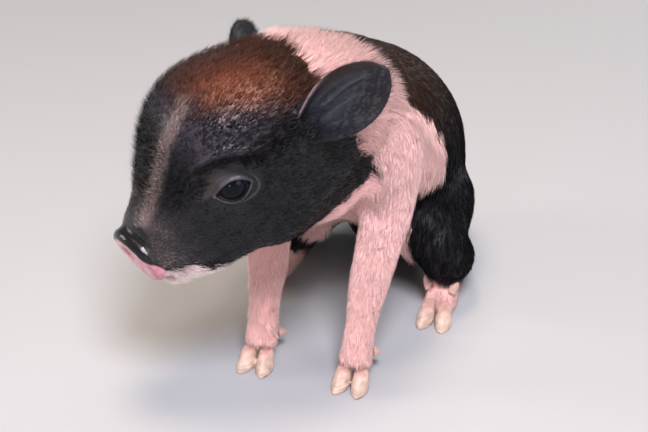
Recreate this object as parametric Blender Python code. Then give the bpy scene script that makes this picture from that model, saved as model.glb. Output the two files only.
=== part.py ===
"""A newborn domestic piglet at life size, sitting with its head turned to its right and lowered.

Metres, +Z up. The piglet's chest faces -Y and its left side is +X. The flesh is modelled whole: lofts and
ellipsoids for the head, trunk and legs are fused and smoothed, the eye openings, mouth and soles are cut, and
thin cuts then part it into head, neck, torso and legs. Ears, eyes, snout disc, claws and tail are solids of
their own, each cut back from the flesh that it grows from by the same thin gap.
"""

import math
from collections import namedtuple

import bmesh
import bpy
import numpy as np
from mathutils import Matrix, Vector
from mathutils.bvhtree import BVHTree

# Driving sizes of the whole animal
HEAD_LENGTH = 0.088
TRUNK_WIDTH = 0.061
GAP = 0.0003
FLOOR = 0.0

# Meshing of the fused flesh
VOXEL = 0.0015
SMOOTH_PASSES = 9
FLESH_TRIANGLES = 6500
RING_SIDES = 28
ROUNDNESS = 2.25

# The head's own frame: the point between the eyes, turned right, nose lowered, left side a little raised
HEAD_CENTRE = Vector((-0.0255, -0.0674, 0.0900))
HEAD_YAW = math.radians(45)
HEAD_PITCH = math.radians(29)
HEAD_ROLL = math.radians(0)

# Head sections, as shares of the head's length: place forward of the eyes, top, bottom, half width
HEAD_UNIT = HEAD_LENGTH / 88
HeadRow = namedtuple("HeadRow", "forward top bottom half_width")
HEAD_ROWS = [
    HeadRow(-49, 6, -18, 13),
    HeadRow(-45, 13, -26, 21),
    HeadRow(-37, 21, -32, 26),
    HeadRow(-26, 26.5, -34, 28),
    HeadRow(-14, 29.7, -34, 28.5),
    HeadRow(-4, 30.4, -32, 27.5),
    HeadRow(5, 28.1, -30, 25),
    HeadRow(13, 22.0, -28.5, 21.5),
    HeadRow(20, 13.4, -27.5, 18),
    HeadRow(27, 5.2, -25.5, 14.5),
    HeadRow(33, 0.2, -22.5, 12.2),
    HeadRow(36.5, -1.4, -21, 11.4),
]
CHEEK = ((-12, 16, -14), (19, 13, 16))
BROW = ((0, 15.5, 12), (13, 8, 8))
JOWL = ((-20, 9, -24), (17, 13, 12))

# Soft hollows of the face: place on the left side, reach, and how far the skin moves
Press = namedtuple("Press", "centre reach push")
PRESSES = [
    Press((3, 26, 0.5), 9, (0, -4.4, 0)),
    Press((15, 20, -5), 7, (0, -1.5, 0)),
]

# Snout disc
DISC_CENTRE = (37.0, 0.4, -11.6)
DISC_HALF = (12.2, 10.4)
DISC_THICK = 4.4
DISC_TIP_BACK = math.radians(-1)
DISC_YAW = math.radians(11)
DISC_PROFILE = [(-1, 0.90), (-0.55, 0.98), (0, 1.0), (0.55, 0.975), (0.9, 0.90), (1, 0.80)]
NOSTRIL_OFFSET = (4.3, 0.4)
NOSTRIL_HALF = (1.9, 2.4)
NOSTRIL_DEPTH = 3.2

# Eyes and lids
EYE_CENTRE = (-0.6, 17.4, 0.9)
EYE_AIM = (0.30, 0.94, 0.10)
EYE_RADIUS = 6.4
LID_THICK = 1.5
EYE_OPENING_HALF = (5.9, 4.1)
EYE_SLANT = math.radians(-5)

# Mouth line from the middle of the chin to the corner, on the left side
MOUTH_POINTS = [(34.8, 0, -22), (33, 6, -21.3), (27, 11, -21.4), (18, 15, -21.6), (9, 19, -20), (3, 22, -16.5)]
MOUTH_RADIUS = 0.65
LIP_RADIUS = 1.3
LIP_DROP = 1.1

# Ears, in the head's frame: root, length direction, direction that the cup opens to
Ear = namedtuple("Ear", "root along opens")
EAR_LEFT = Ear((-29, 22.5, 3), (-0.86, 0.42, 0.28), (0.45, 0.75, 0.45))
EAR_RIGHT = Ear((-27.5, -22, 5), (-0.45, -0.85, -0.25), (0.80, -0.50, 0.30))
EAR_LENGTH = 34
EAR_WIDTH = 23.5
EAR_THICK_ROOT = 2.4
EAR_THICK_TIP = 1.0
EAR_STEPS = 9
EAR_ACROSS = 8
EAR_FOLD_ROOT = math.radians(105)
EAR_FOLD_TIP = math.radians(24)

# Trunk sections along the spine: place in the middle plane, half width, reach to the back and to the belly
TRUNK_UNIT = TRUNK_WIDTH / 61
TrunkRow = namedtuple("TrunkRow", "y z half_width back belly")
TRUNK_ROWS = [
    TrunkRow(-48, 101, 13, 13, 13),
    TrunkRow(-40, 99, 21, 21, 22),
    TrunkRow(-27, 92, 27, 25.5, 28),
    TrunkRow(-9, 82, 31, 30, 33),
    TrunkRow(11, 69, 33.5, 32, 34),
    TrunkRow(29, 53, 33.5, 31.5, 31),
    TrunkRow(43, 35, 30.5, 28, 26),
    TrunkRow(52, 17, 25, 21, 19),
    TrunkRow(56, 1, 17.5, 13.5, 12.5),
]
NECK_ROWS = [
    # x, y, z, half width, half depth
    (5, -8, 88, 14, 12),
    (4, -20, 98, 23, 20),
    (0, -36, 101, 26.5, 24.5),
    (-9, -49, 99, 27, 27.5),
    (-17, -60, 93, 25, 27),
]
BRISKET = ((0, -44, 80), (19, 13, 20))

# Legs, left side: chains of x, y, z, radius across, radius fore and aft
SHOULDER = ((21, -24, 82), (11.5, 18, 27))
FORELEG_ROWS = [
    (21.5, -20, 76, 10, 13.5),
    (21.5, -25, 62, 9.5, 11),
    (20.5, -31, 48, 8.2, 9),
    (19, -37.5, 34, 7.2, 7.6),
    (18.5, -42, 24, 6.0, 6.2),
    (18, -45.5, 14, 6.0, 6.0),
    (18, -48.5, 6.5, 6.8, 6.4),
]
THIGH = ((24.5, 26, 31), (14.5, 28, 20))
THIGH_TILT = math.radians(-8)
HINDLEG_ROWS = [
    (30.5, -1, 38, 3, 4),
    (32, 1.5, 34, 8, 9.5),
    (33.5, 8, 25, 10, 12),
    (34, 17, 17, 9.5, 10),
    (33, 28, 11.5, 7.5, 8.5),
    (31.5, 38, 5.6, 6.2, 6.5),
    (32, 26, 4.8, 5.6, 5.4),
    (33, 12, 4.8, 5.6, 5.2),
    (34, 2, 5.2, 6.6, 5.6),
]

# Claws: two on each foot, and two dewclaws behind
CLAW_LENGTH = 11.5
CLAW_WIDTH = 6.4
CLAW_HEIGHT = 7.0
CLAW_SLOPE = 3.4
CLAW_SPREAD = 3.6
CLAW_SPLAY = math.radians(6)
DEWCLAW_RADIUS = 2.0
DEWCLAW_LENGTH = 5.0

# Tail: x, y, z and radius from root to tip
TAIL_ROWS = [
    (0, 52, 34, 4.2),
    (0, 60, 36, 3.6),
    (2, 68, 35.5, 2.9),
    (6, 75, 30, 2.4),
    (11, 77, 22, 2.1),
    (16.5, 74, 15.5, 1.9),
    (22, 68, 12.5, 1.6),
    (26, 61, 13.5, 1.1),
]

MM = 0.001
BLACK_SKIN = (0.020, 0.018, 0.020)
PINK_SKIN = (0.72, 0.46, 0.42)
DISC_SKIN = (0.20, 0.12, 0.12)
HORN = (0.62, 0.50, 0.42)
EYE_DARK = (0.010, 0.012, 0.020)


def clear_scene():
    for obj in list(bpy.data.objects):
        bpy.data.objects.remove(obj)


def material(name, colour, roughness):
    made = bpy.data.materials.new(name)
    made.use_nodes = True
    shader = made.node_tree.nodes["Principled BSDF"]
    shader.inputs["Base Color"].default_value = (*colour, 1)
    shader.inputs["Roughness"].default_value = roughness
    shader.inputs["Metallic"].default_value = 0.0
    return made


def head_frame():
    """Matrix from the head's frame, forward, left and up, to the world."""
    forward = Vector((
        -math.sin(HEAD_YAW) * math.cos(HEAD_PITCH),
        -math.cos(HEAD_YAW) * math.cos(HEAD_PITCH),
        -math.sin(HEAD_PITCH),
    ))
    level_left = Vector((-forward.y, forward.x, 0)).normalized()
    left = Matrix.Rotation(HEAD_ROLL, 3, forward) @ level_left
    up = forward.cross(left)
    axes = Matrix((forward, left, up)).transposed().to_4x4()
    return Matrix.Translation(HEAD_CENTRE) @ axes


HEAD = head_frame()


def in_head(point):
    """World place of a point given in the head's frame and in head units."""
    return HEAD @ (Vector(point) * HEAD_UNIT)


def head_direction(vector):
    return (HEAD.to_3x3() @ Vector(vector)).normalized()


def mirrored(point):
    return (point[0], -point[1], point[2])


def new_object(name, mesh):
    obj = bpy.data.objects.new(name, mesh)
    bpy.context.scene.collection.objects.link(obj)
    return obj


def object_from(name, bm):
    mesh = bpy.data.meshes.new(name)
    bmesh.ops.recalc_face_normals(bm, faces=bm.faces)
    bm.to_mesh(mesh)
    bm.free()
    return new_object(name, mesh)


def through(rows, per_span):
    """Points on a smooth curve through the rows, by the Catmull-Rom rule."""
    table = np.array([tuple(row) for row in rows], float)
    padded = np.vstack([2 * table[0] - table[1], table, 2 * table[-1] - table[-2]])
    found = []
    for i in range(1, len(padded) - 2):
        a, b, c, d = padded[i - 1 : i + 3]
        slope, bend, twist = c - a, 2 * a - 5 * b + 4 * c - d, 3 * b - a - 3 * c + d
        for t in np.arange(per_span) / per_span:
            found.append(b + (slope * t + bend * t**2 + twist * t**3) / 2)
    found.append(table[-1])
    return found


def ring(centre, side, up, half_width, above, below, sides=RING_SIDES):
    """Points of a rounded, slightly square section."""
    points = []
    for i in range(sides):
        angle = 2 * math.pi * i / sides
        across = math.copysign(abs(math.cos(angle)) ** (2 / ROUNDNESS), math.cos(angle))
        rise = math.copysign(abs(math.sin(angle)) ** (2 / ROUNDNESS), math.sin(angle))
        reach = above if rise > 0 else below
        points.append(centre + side * half_width * across + up * reach * rise)
    return points


def loft(name, rings):
    """A closed solid through rings with the same number of points."""
    bm = bmesh.new()
    made = [[bm.verts.new(point) for point in points] for points in rings]
    count = len(made[0])
    for first, second in zip(made, made[1:]):
        for i in range(count):
            j = (i + 1) % count
            bm.faces.new((first[i], first[j], second[j], second[i]))
    bm.faces.new(made[0])
    bm.faces.new(made[-1])
    return object_from(name, bm)


def ellipsoid(name, centre, axes, radii, segments=24):
    """axes holds three unit directions for the three radii."""
    bm = bmesh.new()
    bmesh.ops.create_uvsphere(bm, u_segments=segments, v_segments=segments // 2, radius=1)
    turn = Matrix([axis * radius for axis, radius in zip(axes, radii)]).transposed().to_4x4()
    bmesh.ops.transform(bm, matrix=Matrix.Translation(centre) @ turn, verts=bm.verts)
    return object_from(name, bm)


def head_ellipsoid(name, shape, segments=24):
    centre, radii = shape
    axes = [head_direction(axis) for axis in ((1, 0, 0), (0, 1, 0), (0, 0, 1))]
    return ellipsoid(name, in_head(centre), axes, [r * HEAD_UNIT for r in radii], segments)


def body_ellipsoid(name, shape, tilt=0.0):
    centre, radii = shape
    axes = Matrix.Rotation(tilt, 3, "X")
    columns = [axes.col[i] for i in range(3)]
    return ellipsoid(name, Vector(centre) * TRUNK_UNIT, columns, [r * TRUNK_UNIT for r in radii])


def tube(name, rows, per_span=5, sides=16):
    """A solid along rows of x, y, z and one or two radii: across, and fore and aft."""
    rows = through(rows, per_span)
    places = [Vector(row[:3]) * TRUNK_UNIT for row in rows]
    rings = []
    side = Vector((1, 0, 0))
    for i, (place, row) in enumerate(zip(places, rows)):
        run = (places[min(i + 1, len(places) - 1)] - places[max(i - 1, 0)]).normalized()
        side = (side - run * side.dot(run)).normalized()
        across, deep = row[3] * TRUNK_UNIT, row[-1] * TRUNK_UNIT
        rings.append(ring(place, side, run.cross(side), across, deep, deep, sides))
    return loft(name, rings)


def trunk():
    rings = []
    rows = [TrunkRow(*row) for row in through(TRUNK_ROWS, 5)]
    places = [Vector((0, row.y, row.z)) * TRUNK_UNIT for row in rows]
    for i, (place, row) in enumerate(zip(places, rows)):
        run = (places[min(i + 1, len(places) - 1)] - places[max(i - 1, 0)]).normalized()
        back = Vector((0, -run.z, run.y))
        sizes = [size * TRUNK_UNIT for size in (row.half_width, row.back, row.belly)]
        rings.append(ring(place, Vector((1, 0, 0)), back, *sizes))
    return loft("trunk", rings)


def skull():
    rings = []
    left, up = head_direction((0, 1, 0)), head_direction((0, 0, 1))
    for numbers in through(HEAD_ROWS, 4):
        row = HeadRow(*numbers)
        middle = (row.top + row.bottom) / 2
        half = (row.top - row.bottom) / 2 * HEAD_UNIT
        rings.append(ring(in_head((row.forward, 0, middle)), left, up, row.half_width * HEAD_UNIT, half, half))
    return loft("skull", rings)


def evaluated(obj, name):
    """A new object that holds obj's mesh with its modifiers applied. obj is removed."""
    graph = bpy.context.evaluated_depsgraph_get()
    mesh = bpy.data.meshes.new_from_object(obj.evaluated_get(graph))
    mesh.name = name
    bpy.data.objects.remove(obj)
    return new_object(name, mesh)


def joined(name, pieces):
    """All the pieces' faces in one mesh. The pieces are removed."""
    bm = bmesh.new()
    for piece in pieces:
        bm.from_mesh(piece.data)
        bpy.data.objects.remove(piece)
    return object_from(name, bm)


def fused(name, pieces):
    """One smooth closed surface round overlapping pieces."""
    whole = joined(name, pieces)
    remesh = whole.modifiers.new("fuse", "REMESH")
    remesh.mode = "VOXEL"
    remesh.voxel_size = VOXEL
    soften = whole.modifiers.new("soften", "SMOOTH")
    soften.factor = 0.5
    soften.iterations = SMOOTH_PASSES
    return evaluated(whole, name)


def thinned(obj, triangles):
    """The same surface with about this many triangles."""
    now = sum(len(face.vertices) - 2 for face in obj.data.polygons)
    thin = obj.modifiers.new("thin", "DECIMATE")
    thin.ratio = min(1.0, triangles / now)
    return evaluated(obj, obj.name)


def keep_largest(obj):
    """Drops every loose shell but the one with most faces."""
    bm = bmesh.new()
    bm.from_mesh(obj.data)
    bm.verts.ensure_lookup_table()
    seen, shells = set(), []
    for start in bm.verts:
        if start in seen:
            continue
        shell, todo = [], [start]
        seen.add(start)
        while todo:
            vert = todo.pop()
            shell.append(vert)
            for edge in vert.link_edges:
                other = edge.other_vert(vert)
                if other not in seen:
                    seen.add(other)
                    todo.append(other)
        shells.append(shell)
    shells.sort(key=len)
    for shell in shells[:-1]:
        bmesh.ops.delete(bm, geom=shell, context="VERTS")
    bm.to_mesh(obj.data)
    bm.free()
    return obj


def boolean(obj, tools, operation, solver="EXACT"):
    """obj with the tools united, cut away or intersected. The tools are removed."""
    box = bpy.data.collections.new("tools")
    bpy.context.scene.collection.children.link(box)
    for tool in tools:
        bpy.context.scene.collection.objects.unlink(tool)
        box.objects.link(tool)
    change = obj.modifiers.new(operation.lower(), "BOOLEAN")
    change.operation = operation
    change.operand_type = "COLLECTION"
    change.collection = box
    change.solver = solver
    made = evaluated(obj, obj.name)
    for tool in tools:
        bpy.data.objects.remove(tool)
    bpy.data.collections.remove(box)
    return made


def copied(obj, name):
    return new_object(name, obj.data.copy())


def grown(obj, distance, name="grown"):
    """A copy of obj with each face moved out by distance."""
    bm = bmesh.new()
    bm.from_mesh(obj.data)
    bm.normal_update()
    moves = [vert.normal * vert.calc_shell_factor() * distance for vert in bm.verts]
    for vert, move in zip(bm.verts, moves):
        vert.co += move
    return object_from(name, bm)


def prism(name, outline, place, low, high):
    """A cutter: an outline of pairs, each placed by place(a, b, c) for c at low and at high."""
    bm = bmesh.new()
    ends = [[bm.verts.new(place(a, b, c)) for a, b in outline] for c in (low, high)]
    for i in range(len(outline)):
        j = (i + 1) % len(outline)
        bm.faces.new((ends[0][i], ends[0][j], ends[1][j], ends[1][i]))
    bm.faces.new(ends[0])
    bm.faces.new(ends[1])
    return object_from(name, bm)


def parted(flesh, name, cutter):
    """Makes the flesh inside the cutter a node, and gives back the rest, a gap away from it."""
    wide = grown(cutter, GAP)
    keep_largest(boolean(copied(flesh, name), [cutter], "INTERSECT"))
    return keep_largest(boolean(flesh, [wide], "DIFFERENCE"))


def cut_clear(obj, flesh):
    """obj without what lies in the flesh or within a gap of it."""
    return keep_largest(boolean(obj, [grown(flesh, GAP)], "DIFFERENCE"))


# Flesh


def left_and_right(make):
    """make(sign) for the left side, +1, and the right, -1."""
    return [make(sign) for sign in (1, -1)]


def flipped_rows(rows, sign):
    return [(row[0] * sign, *row[1:]) for row in rows]


def flipped_shape(shape, sign):
    (x, y, z), radii = shape
    return (x * sign, y, z), radii


def head_side(shape, sign):
    (f, l, u), radii = shape
    return (f, l * sign, u), radii


def pressed(flesh):
    """The flesh with each soft hollow of the face pressed in, on both sides."""
    unit = HEAD_UNIT
    for press in PRESSES:
        for sign in (1, -1):
            centre = in_head((press.centre[0], press.centre[1] * sign, press.centre[2]))
            push = HEAD.to_3x3() @ Vector((press.push[0], press.push[1] * sign, press.push[2])) * unit
            for vert in flesh.data.vertices:
                away = (vert.co - centre).length / (press.reach * unit)
                vert.co += push * math.exp(-away * away)
    return flesh


def build_flesh():
    pieces = [trunk(), tube("neck", NECK_ROWS, sides=24), body_ellipsoid("brisket", BRISKET), skull()]
    for sign in (1, -1):
        pieces += [
            head_ellipsoid("cheek", head_side(CHEEK, sign)),
            head_ellipsoid("brow", head_side(BROW, sign)),
            head_ellipsoid("jowl", head_side(JOWL, sign)),
            body_ellipsoid("shoulder", flipped_shape(SHOULDER, sign)),
            tube("foreleg", flipped_rows(FORELEG_ROWS, sign)),
            body_ellipsoid("thigh", flipped_shape(THIGH, sign), THIGH_TILT),
            tube("hindleg", flipped_rows(HINDLEG_ROWS, sign)),
        ]
    return thinned(pressed(fused("flesh", pieces)), FLESH_TRIANGLES)


def eye_axes(sign):
    """The eye's aim, its long axis and its short axis, in the world."""
    aim = head_direction((EYE_AIM[0], EYE_AIM[1] * sign, EYE_AIM[2]))
    along = head_direction((math.cos(EYE_SLANT), 0, -math.sin(EYE_SLANT)))
    along = (along - aim * along.dot(aim)).normalized()
    return aim, along, aim.cross(along)


def eye_centre(sign):
    return in_head((EYE_CENTRE[0], EYE_CENTRE[1] * sign, EYE_CENTRE[2]))


def eye_ball(name, sign, extra, segments):
    radius = (EYE_RADIUS + extra) * HEAD_UNIT
    aim, along, across = eye_axes(sign)
    return ellipsoid(name, eye_centre(sign), (along, across, aim), (radius,) * 3, segments)


def almond(count):
    """Outline of the eye's opening: two arcs that meet at pointed corners."""
    length, height = EYE_OPENING_HALF
    upper = [(math.cos(math.pi * i / count), math.sin(math.pi * i / count) ** 1.25) for i in range(count)]
    lower = [(-a, -b * 0.9) for a, b in upper]
    return [(a * length * HEAD_UNIT, b * height * HEAD_UNIT) for a, b in upper + lower]


def lids(flesh):
    """Raises a lid round each eye, and cuts the socket and the almond opening."""
    depth = 14 * MM
    flesh = boolean(flesh, left_and_right(lambda sign: eye_ball("lid", sign, LID_THICK, 20)), "UNION")
    tools = []
    for sign in (1, -1):
        aim, along, across = eye_axes(sign)
        middle = eye_centre(sign)
        tools.append(eye_ball("socket", sign, GAP / HEAD_UNIT, 16))
        tools.append(
            prism("opening", almond(8), lambda a, b, c: middle + along * a + across * b + aim * c, 0, depth)
        )
    return boolean(flesh, tools, "DIFFERENCE")


def mouth_path(flesh):
    """The mouth line's points, moved to the surface, from the right corner to the left."""
    rows = through(MOUTH_POINTS, 3)
    points = [tuple(row) for row in rows]
    points = [mirrored(point) for point in reversed(points[1:])] + points
    tree = BVHTree.FromObject(flesh, bpy.context.evaluated_depsgraph_get())
    return [tree.find_nearest(in_head(point))[0] for point in points]


def swept(name, points, radius, sides=6):
    """A thin round roll along world points, tapered at both ends."""
    rings = []
    count = len(points)
    for i, point in enumerate(points):
        run = (points[min(i + 1, count - 1)] - points[max(i - 1, 0)]).normalized()
        side = run.cross(head_direction((0, 0, 1))).normalized()
        share = min(1.0, 0.3 + min(i, count - 1 - i) / 4)
        rings.append(ring(point, side, run.cross(side), radius * share, radius * share, radius * share, sides))
    return loft(name, rings)


def mouth(flesh):
    """A lower lip along the mouth line, and the line itself as a groove."""
    path = mouth_path(flesh)
    drop = head_direction((0, 0, -1)) * LIP_DROP * HEAD_UNIT
    lip = swept("lip", [point + drop for point in path[2:-2]], LIP_RADIUS * HEAD_UNIT)
    flesh = boolean(flesh, [lip], "UNION", "MANIFOLD")
    groove = swept("groove", path, MOUTH_RADIUS * HEAD_UNIT)
    return boolean(flesh, [groove], "DIFFERENCE", "MANIFOLD")


def disc_frame():
    """Centre and axes of the snout disc: forward, left, up."""
    forward = head_direction((math.cos(DISC_TIP_BACK), math.sin(DISC_YAW), math.sin(DISC_TIP_BACK)))
    left = head_direction((0, 1, 0))
    left = (left - forward * left.dot(forward)).normalized()
    return in_head(DISC_CENTRE), forward, left, forward.cross(left)


def disc_ring(reach, share, count=28):
    """One outline of the disc: a rounded shape, flatter below and peaked a little above."""
    centre, forward, left, up = disc_frame()
    points = []
    for i in range(count):
        angle = 2 * math.pi * i / count
        across = math.cos(angle) * DISC_HALF[0]
        rise = math.sin(angle) * DISC_HALF[1]
        if rise > 0:
            across *= 1 - 0.16 * (rise / DISC_HALF[1]) ** 2
        size = share * HEAD_UNIT
        points.append(centre + left * across * size + up * rise * size + forward * reach * HEAD_UNIT)
    return points


def snout_disc(flesh):
    """(the disc as a node with both nostrils, and the flesh cut off square behind it)."""
    half = DISC_THICK / 2
    disc = loft("snout_disc", [disc_ring(half * reach, share) for reach, share in DISC_PROFILE])
    centre, forward, left, up = disc_frame()
    unit = HEAD_UNIT
    nostrils = []
    for sign in (1, -1):
        place = centre + (left * NOSTRIL_OFFSET[0] * sign + up * NOSTRIL_OFFSET[1] + forward * half) * unit
        tilt = (up + left * 0.35 * sign).normalized()
        radii = [NOSTRIL_HALF[0] * unit, NOSTRIL_HALF[1] * unit, NOSTRIL_DEPTH * unit]
        nostrils.append(ellipsoid("nostril", place, (tilt.cross(forward), tilt, forward), radii, 12))
    disc = boolean(disc, nostrils, "DIFFERENCE")
    front = prism(
        "front",
        [(-30 * MM, -30 * MM), (30 * MM, -30 * MM), (30 * MM, 30 * MM), (-30 * MM, 30 * MM)],
        lambda a, b, c: centre + left * a + up * b + forward * c,
        -half * unit - GAP,
        30 * MM,
    )
    return disc, keep_largest(boolean(flesh, [front], "DIFFERENCE"))


def soles_cut(flesh):
    """Everything that reaches the floor ends on it in a flat."""
    side, deep = 0.3, 0.05
    square = [(-side, -side), (side, -side), (side, side), (-side, side)]
    ground = prism("ground", square, lambda a, b, c: Vector((a, b, c)), -deep, FLOOR)
    return boolean(flesh, [ground], "DIFFERENCE")


# Parting the flesh into nodes. Outlines are in millimetres, in the plane that each cutter stands on


HEAD_CUT = [(-52, 60), (70, 60), (70, -38), (-33, -38)]
HEAD_CUT_RIGHT = -29.5
NECK_CUT = [(-95, 150), (2, 150), (-12, 112), (-34, 64), (-95, 64)]
FORELEG_CUT = [(-90, 61), (-44, 64), (-24, 66), (-9, 60), (-14, 40), (-14, -5), (-90, -5)]
FORELEG_INNER = 3.0
HINDLEG_CUT = [(-22, -5), (-22, 16), (-13, 42), (4, 55), (26, 57), (44, 44), (50, 24), (47, -5)]
HINDLEG_INNER = 20.0
CUT_FAR = 75.0


def part_head(flesh):
    """The head ends on a plane behind the ears, and on one beside the cheek that is turned to the shoulder."""
    cutter = prism("cutter", HEAD_CUT, lambda f, u, l: in_head((f, l, u)), HEAD_CUT_RIGHT, CUT_FAR)
    return parted(flesh, "head", cutter)


def sagittal(y, z, x):
    return Vector((x, y, z)) * TRUNK_UNIT


def part_limb(flesh, name, outline, inner, sign):
    ends = sorted((inner * sign, CUT_FAR * sign))
    return parted(flesh, name, prism("cutter", outline, sagittal, *ends))


def part_flesh(flesh):
    """Leaves head, neck, four legs and torso, each a node."""
    flesh = part_head(flesh)
    for sign, side in ((1, "left"), (-1, "right")):
        flesh = part_limb(flesh, "foreleg_" + side, FORELEG_CUT, FORELEG_INNER, sign)
        flesh = part_limb(flesh, "hindleg_" + side, HINDLEG_CUT, HINDLEG_INNER, sign)
    flesh = parted(flesh, "neck", prism("cutter", NECK_CUT, sagittal, -CUT_FAR, CUT_FAR))
    flesh.name = "torso"


# Ears, claws and tail


def ear_half_width(s):
    """Half the ear's spread width at a share s of its length."""
    widest = 0.42
    if s < widest:
        return EAR_WIDTH / 2 * (0.62 + 0.38 * math.sin(math.pi / 2 * s / widest))
    return EAR_WIDTH / 2 * max(0.08, (1 - ((s - widest) / (1 - widest)) ** 2.2) ** 0.62)


def ear_solid(name, ear):
    """A curved leaf of even thickness, folded into a cup at its root."""
    along = head_direction(ear.along)
    opens = head_direction(ear.opens)
    opens = (opens - along * opens.dot(along)).normalized()
    side = along.cross(opens)
    root = in_head(ear.root)
    unit = HEAD_UNIT
    bm = bmesh.new()
    layers = []
    for face in (1, -1):
        grid = []
        for i in range(EAR_STEPS + 1):
            s = i / EAR_STEPS
            fold = EAR_FOLD_ROOT + (EAR_FOLD_TIP - EAR_FOLD_ROOT) * s**0.8
            radius = ear_half_width(s) / fold
            thick = EAR_THICK_ROOT + (EAR_THICK_TIP - EAR_THICK_ROOT) * min(1, s * 1.6)
            row = []
            for j in range(EAR_ACROSS + 1):
                w = 2 * j / EAR_ACROSS - 1
                angle = fold * w
                edge = 1 - 0.45 * w**4
                inward = radius - face * thick / 2 * edge
                spot = side * math.sin(angle) * inward + opens * (radius - math.cos(angle) * inward)
                curl = opens * 2.2 * s**2
                row.append(bm.verts.new(root + (along * EAR_LENGTH * s + spot + curl) * unit))
            grid.append(row)
        layers.append(grid)
    inner, outer = layers
    for i in range(EAR_STEPS):
        for j in range(EAR_ACROSS):
            for grid in layers:
                bm.faces.new((grid[i][j], grid[i][j + 1], grid[i + 1][j + 1], grid[i + 1][j]))
        for j in (0, EAR_ACROSS):
            bm.faces.new((inner[i][j], outer[i][j], outer[i + 1][j], inner[i + 1][j]))
    for i in (0, EAR_STEPS):
        for j in range(EAR_ACROSS):
            bm.faces.new((inner[i][j], outer[i][j], outer[i][j + 1], inner[i][j + 1]))
    bmesh.ops.triangulate(bm, faces=bm.faces)
    return object_from(name, bm)


def claw(name, place, heading, sign):
    """One half of a cloven hoof: flat sole, sloping front wall. sign is the side of the foot."""
    forward = Vector((math.sin(heading), -math.cos(heading), 0))
    outward = Vector((math.cos(heading), math.sin(heading), 0))
    rings = []
    for rise, share in ((0, 1.0), (0.35, 0.98), (0.75, 0.86), (1.0, 0.68)):
        points = []
        for i in range(12):
            angle = 2 * math.pi * i / 12
            ahead = math.cos(angle)
            point_in = 1 - 0.45 * max(0, ahead) ** 2
            run = ahead * CLAW_LENGTH / 2 * share - CLAW_SLOPE * rise
            across = math.sin(angle) * CLAW_WIDTH / 2 * share * point_in
            points.append(place + (forward * run + outward * (across + sign * CLAW_SPREAD)) * MM)
            points[-1].z = CLAW_HEIGHT * rise * MM
        rings.append(points)
    return loft(name, rings)


def dewclaw(name, place, direction):
    """A short blunt cone that points back and down."""
    side = direction.cross(Vector((0, 0, 1))).normalized()
    up = side.cross(direction)
    rings = []
    for reach, share in ((-0.4, 1.0), (0.3, 0.95), (0.75, 0.7), (1.0, 0.3)):
        size = DEWCLAW_RADIUS * share * MM
        rings.append(ring(place + direction * DEWCLAW_LENGTH * reach * MM, side, up, size, size, size, 8))
    return loft(name, rings)


# Feet: the claws' middle on the floor, and the dewclaws' place above it, on the left side
Foot = namedtuple("Foot", "leg claws dewclaws dew_aim")
FEET = [
    Foot("foreleg", (18, -54.5), (18, -42.0, 9.5), (0.30, 0.75, -0.58)),
    Foot("hindleg", (34.3, -5.5), (33.5, 5.5, 9.2), (0.42, 0.30, 0.85)),
]


def build_claws(flesh):
    for foot in FEET:
        for side_sign, side in ((1, "left"), (-1, "right")):
            place = Vector((foot.claws[0] * side_sign, foot.claws[1], 0)) * TRUNK_UNIT
            for toe_sign, toe in ((1, "outer"), (-1, "inner")):
                sign = side_sign * toe_sign
                hoof = claw(f"claw_{foot.leg}_{side}_{toe}", place, CLAW_SPLAY * sign, sign)
                cut_clear(hoof, flesh)
                x, y, z = foot.dewclaws
                base = Vector((x * side_sign + 4.2 * sign, y, z)) * TRUNK_UNIT
                aim = Vector((foot.dew_aim[0] * sign, *foot.dew_aim[1:])).normalized()
                cut_clear(dewclaw(f"dewclaw_{foot.leg}_{side}_{toe}", base, aim), flesh)


def centre_on_floor():
    """Moves every node so that the middle of the whole model's base is the origin."""
    nodes = [obj for obj in bpy.context.scene.objects if obj.type == "MESH"]
    corners = np.array([vert.co for obj in nodes for vert in obj.data.vertices])
    middle = (corners.min(axis=0) + corners.max(axis=0)) / 2
    shift = Matrix.Translation((-middle[0], -middle[1], 0))
    for obj in nodes:
        obj.data.transform(shift)


def paint():
    skins = {
        "black": material("black_skin", BLACK_SKIN, 0.45),
        "pink": material("pink_skin", PINK_SKIN, 0.5),
        "disc": material("snout_skin", DISC_SKIN, 0.25),
        "horn": material("horn", HORN, 0.4),
        "eye": material("eye", EYE_DARK, 0.05),
    }
    kinds = {"neck": "pink", "foreleg": "pink", "snout": "disc", "eye": "eye"}
    kinds.update({"claw": "horn", "dewclaw": "horn"})
    for obj in bpy.context.scene.objects:
        kind = kinds.get(obj.name.split("_")[0], "black")
        obj.data.materials.clear()
        obj.data.materials.append(skins[kind])
        obj.data.shade_smooth()
        obj.data.set_sharp_from_angle(angle=math.radians(50))


def main():
    clear_scene()
    flesh = build_flesh()
    flesh = lids(flesh)
    flesh = mouth(flesh)
    disc, flesh = snout_disc(flesh)
    flesh = soles_cut(flesh)
    for sign, side in ((1, "left"), (-1, "right")):
        eye_ball("eye_" + side, sign, 0, 16)
    cut_clear(ear_solid("ear_left", EAR_LEFT), flesh)
    cut_clear(ear_solid("ear_right", EAR_RIGHT), flesh)
    cut_clear(tube("tail", TAIL_ROWS, per_span=3, sides=10), flesh)
    build_claws(flesh)
    part_flesh(flesh)
    centre_on_floor()
    paint()


main()
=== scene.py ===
"""A newborn domestic piglet, sitting: skin, eyes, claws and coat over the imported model's frame.

Metres, +Z up, chest towards -Y. One skin replaces the nodes of flesh. Its face is worked in the head's own
frame, given in millimetres forward of, left of and above the point between the eyes.
"""

import math
from collections import namedtuple
from contextlib import contextmanager
from types import SimpleNamespace

import bmesh
import bpy
import numpy as np
from mathutils import Matrix, Vector
from mathutils.bvhtree import BVHTree


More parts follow.
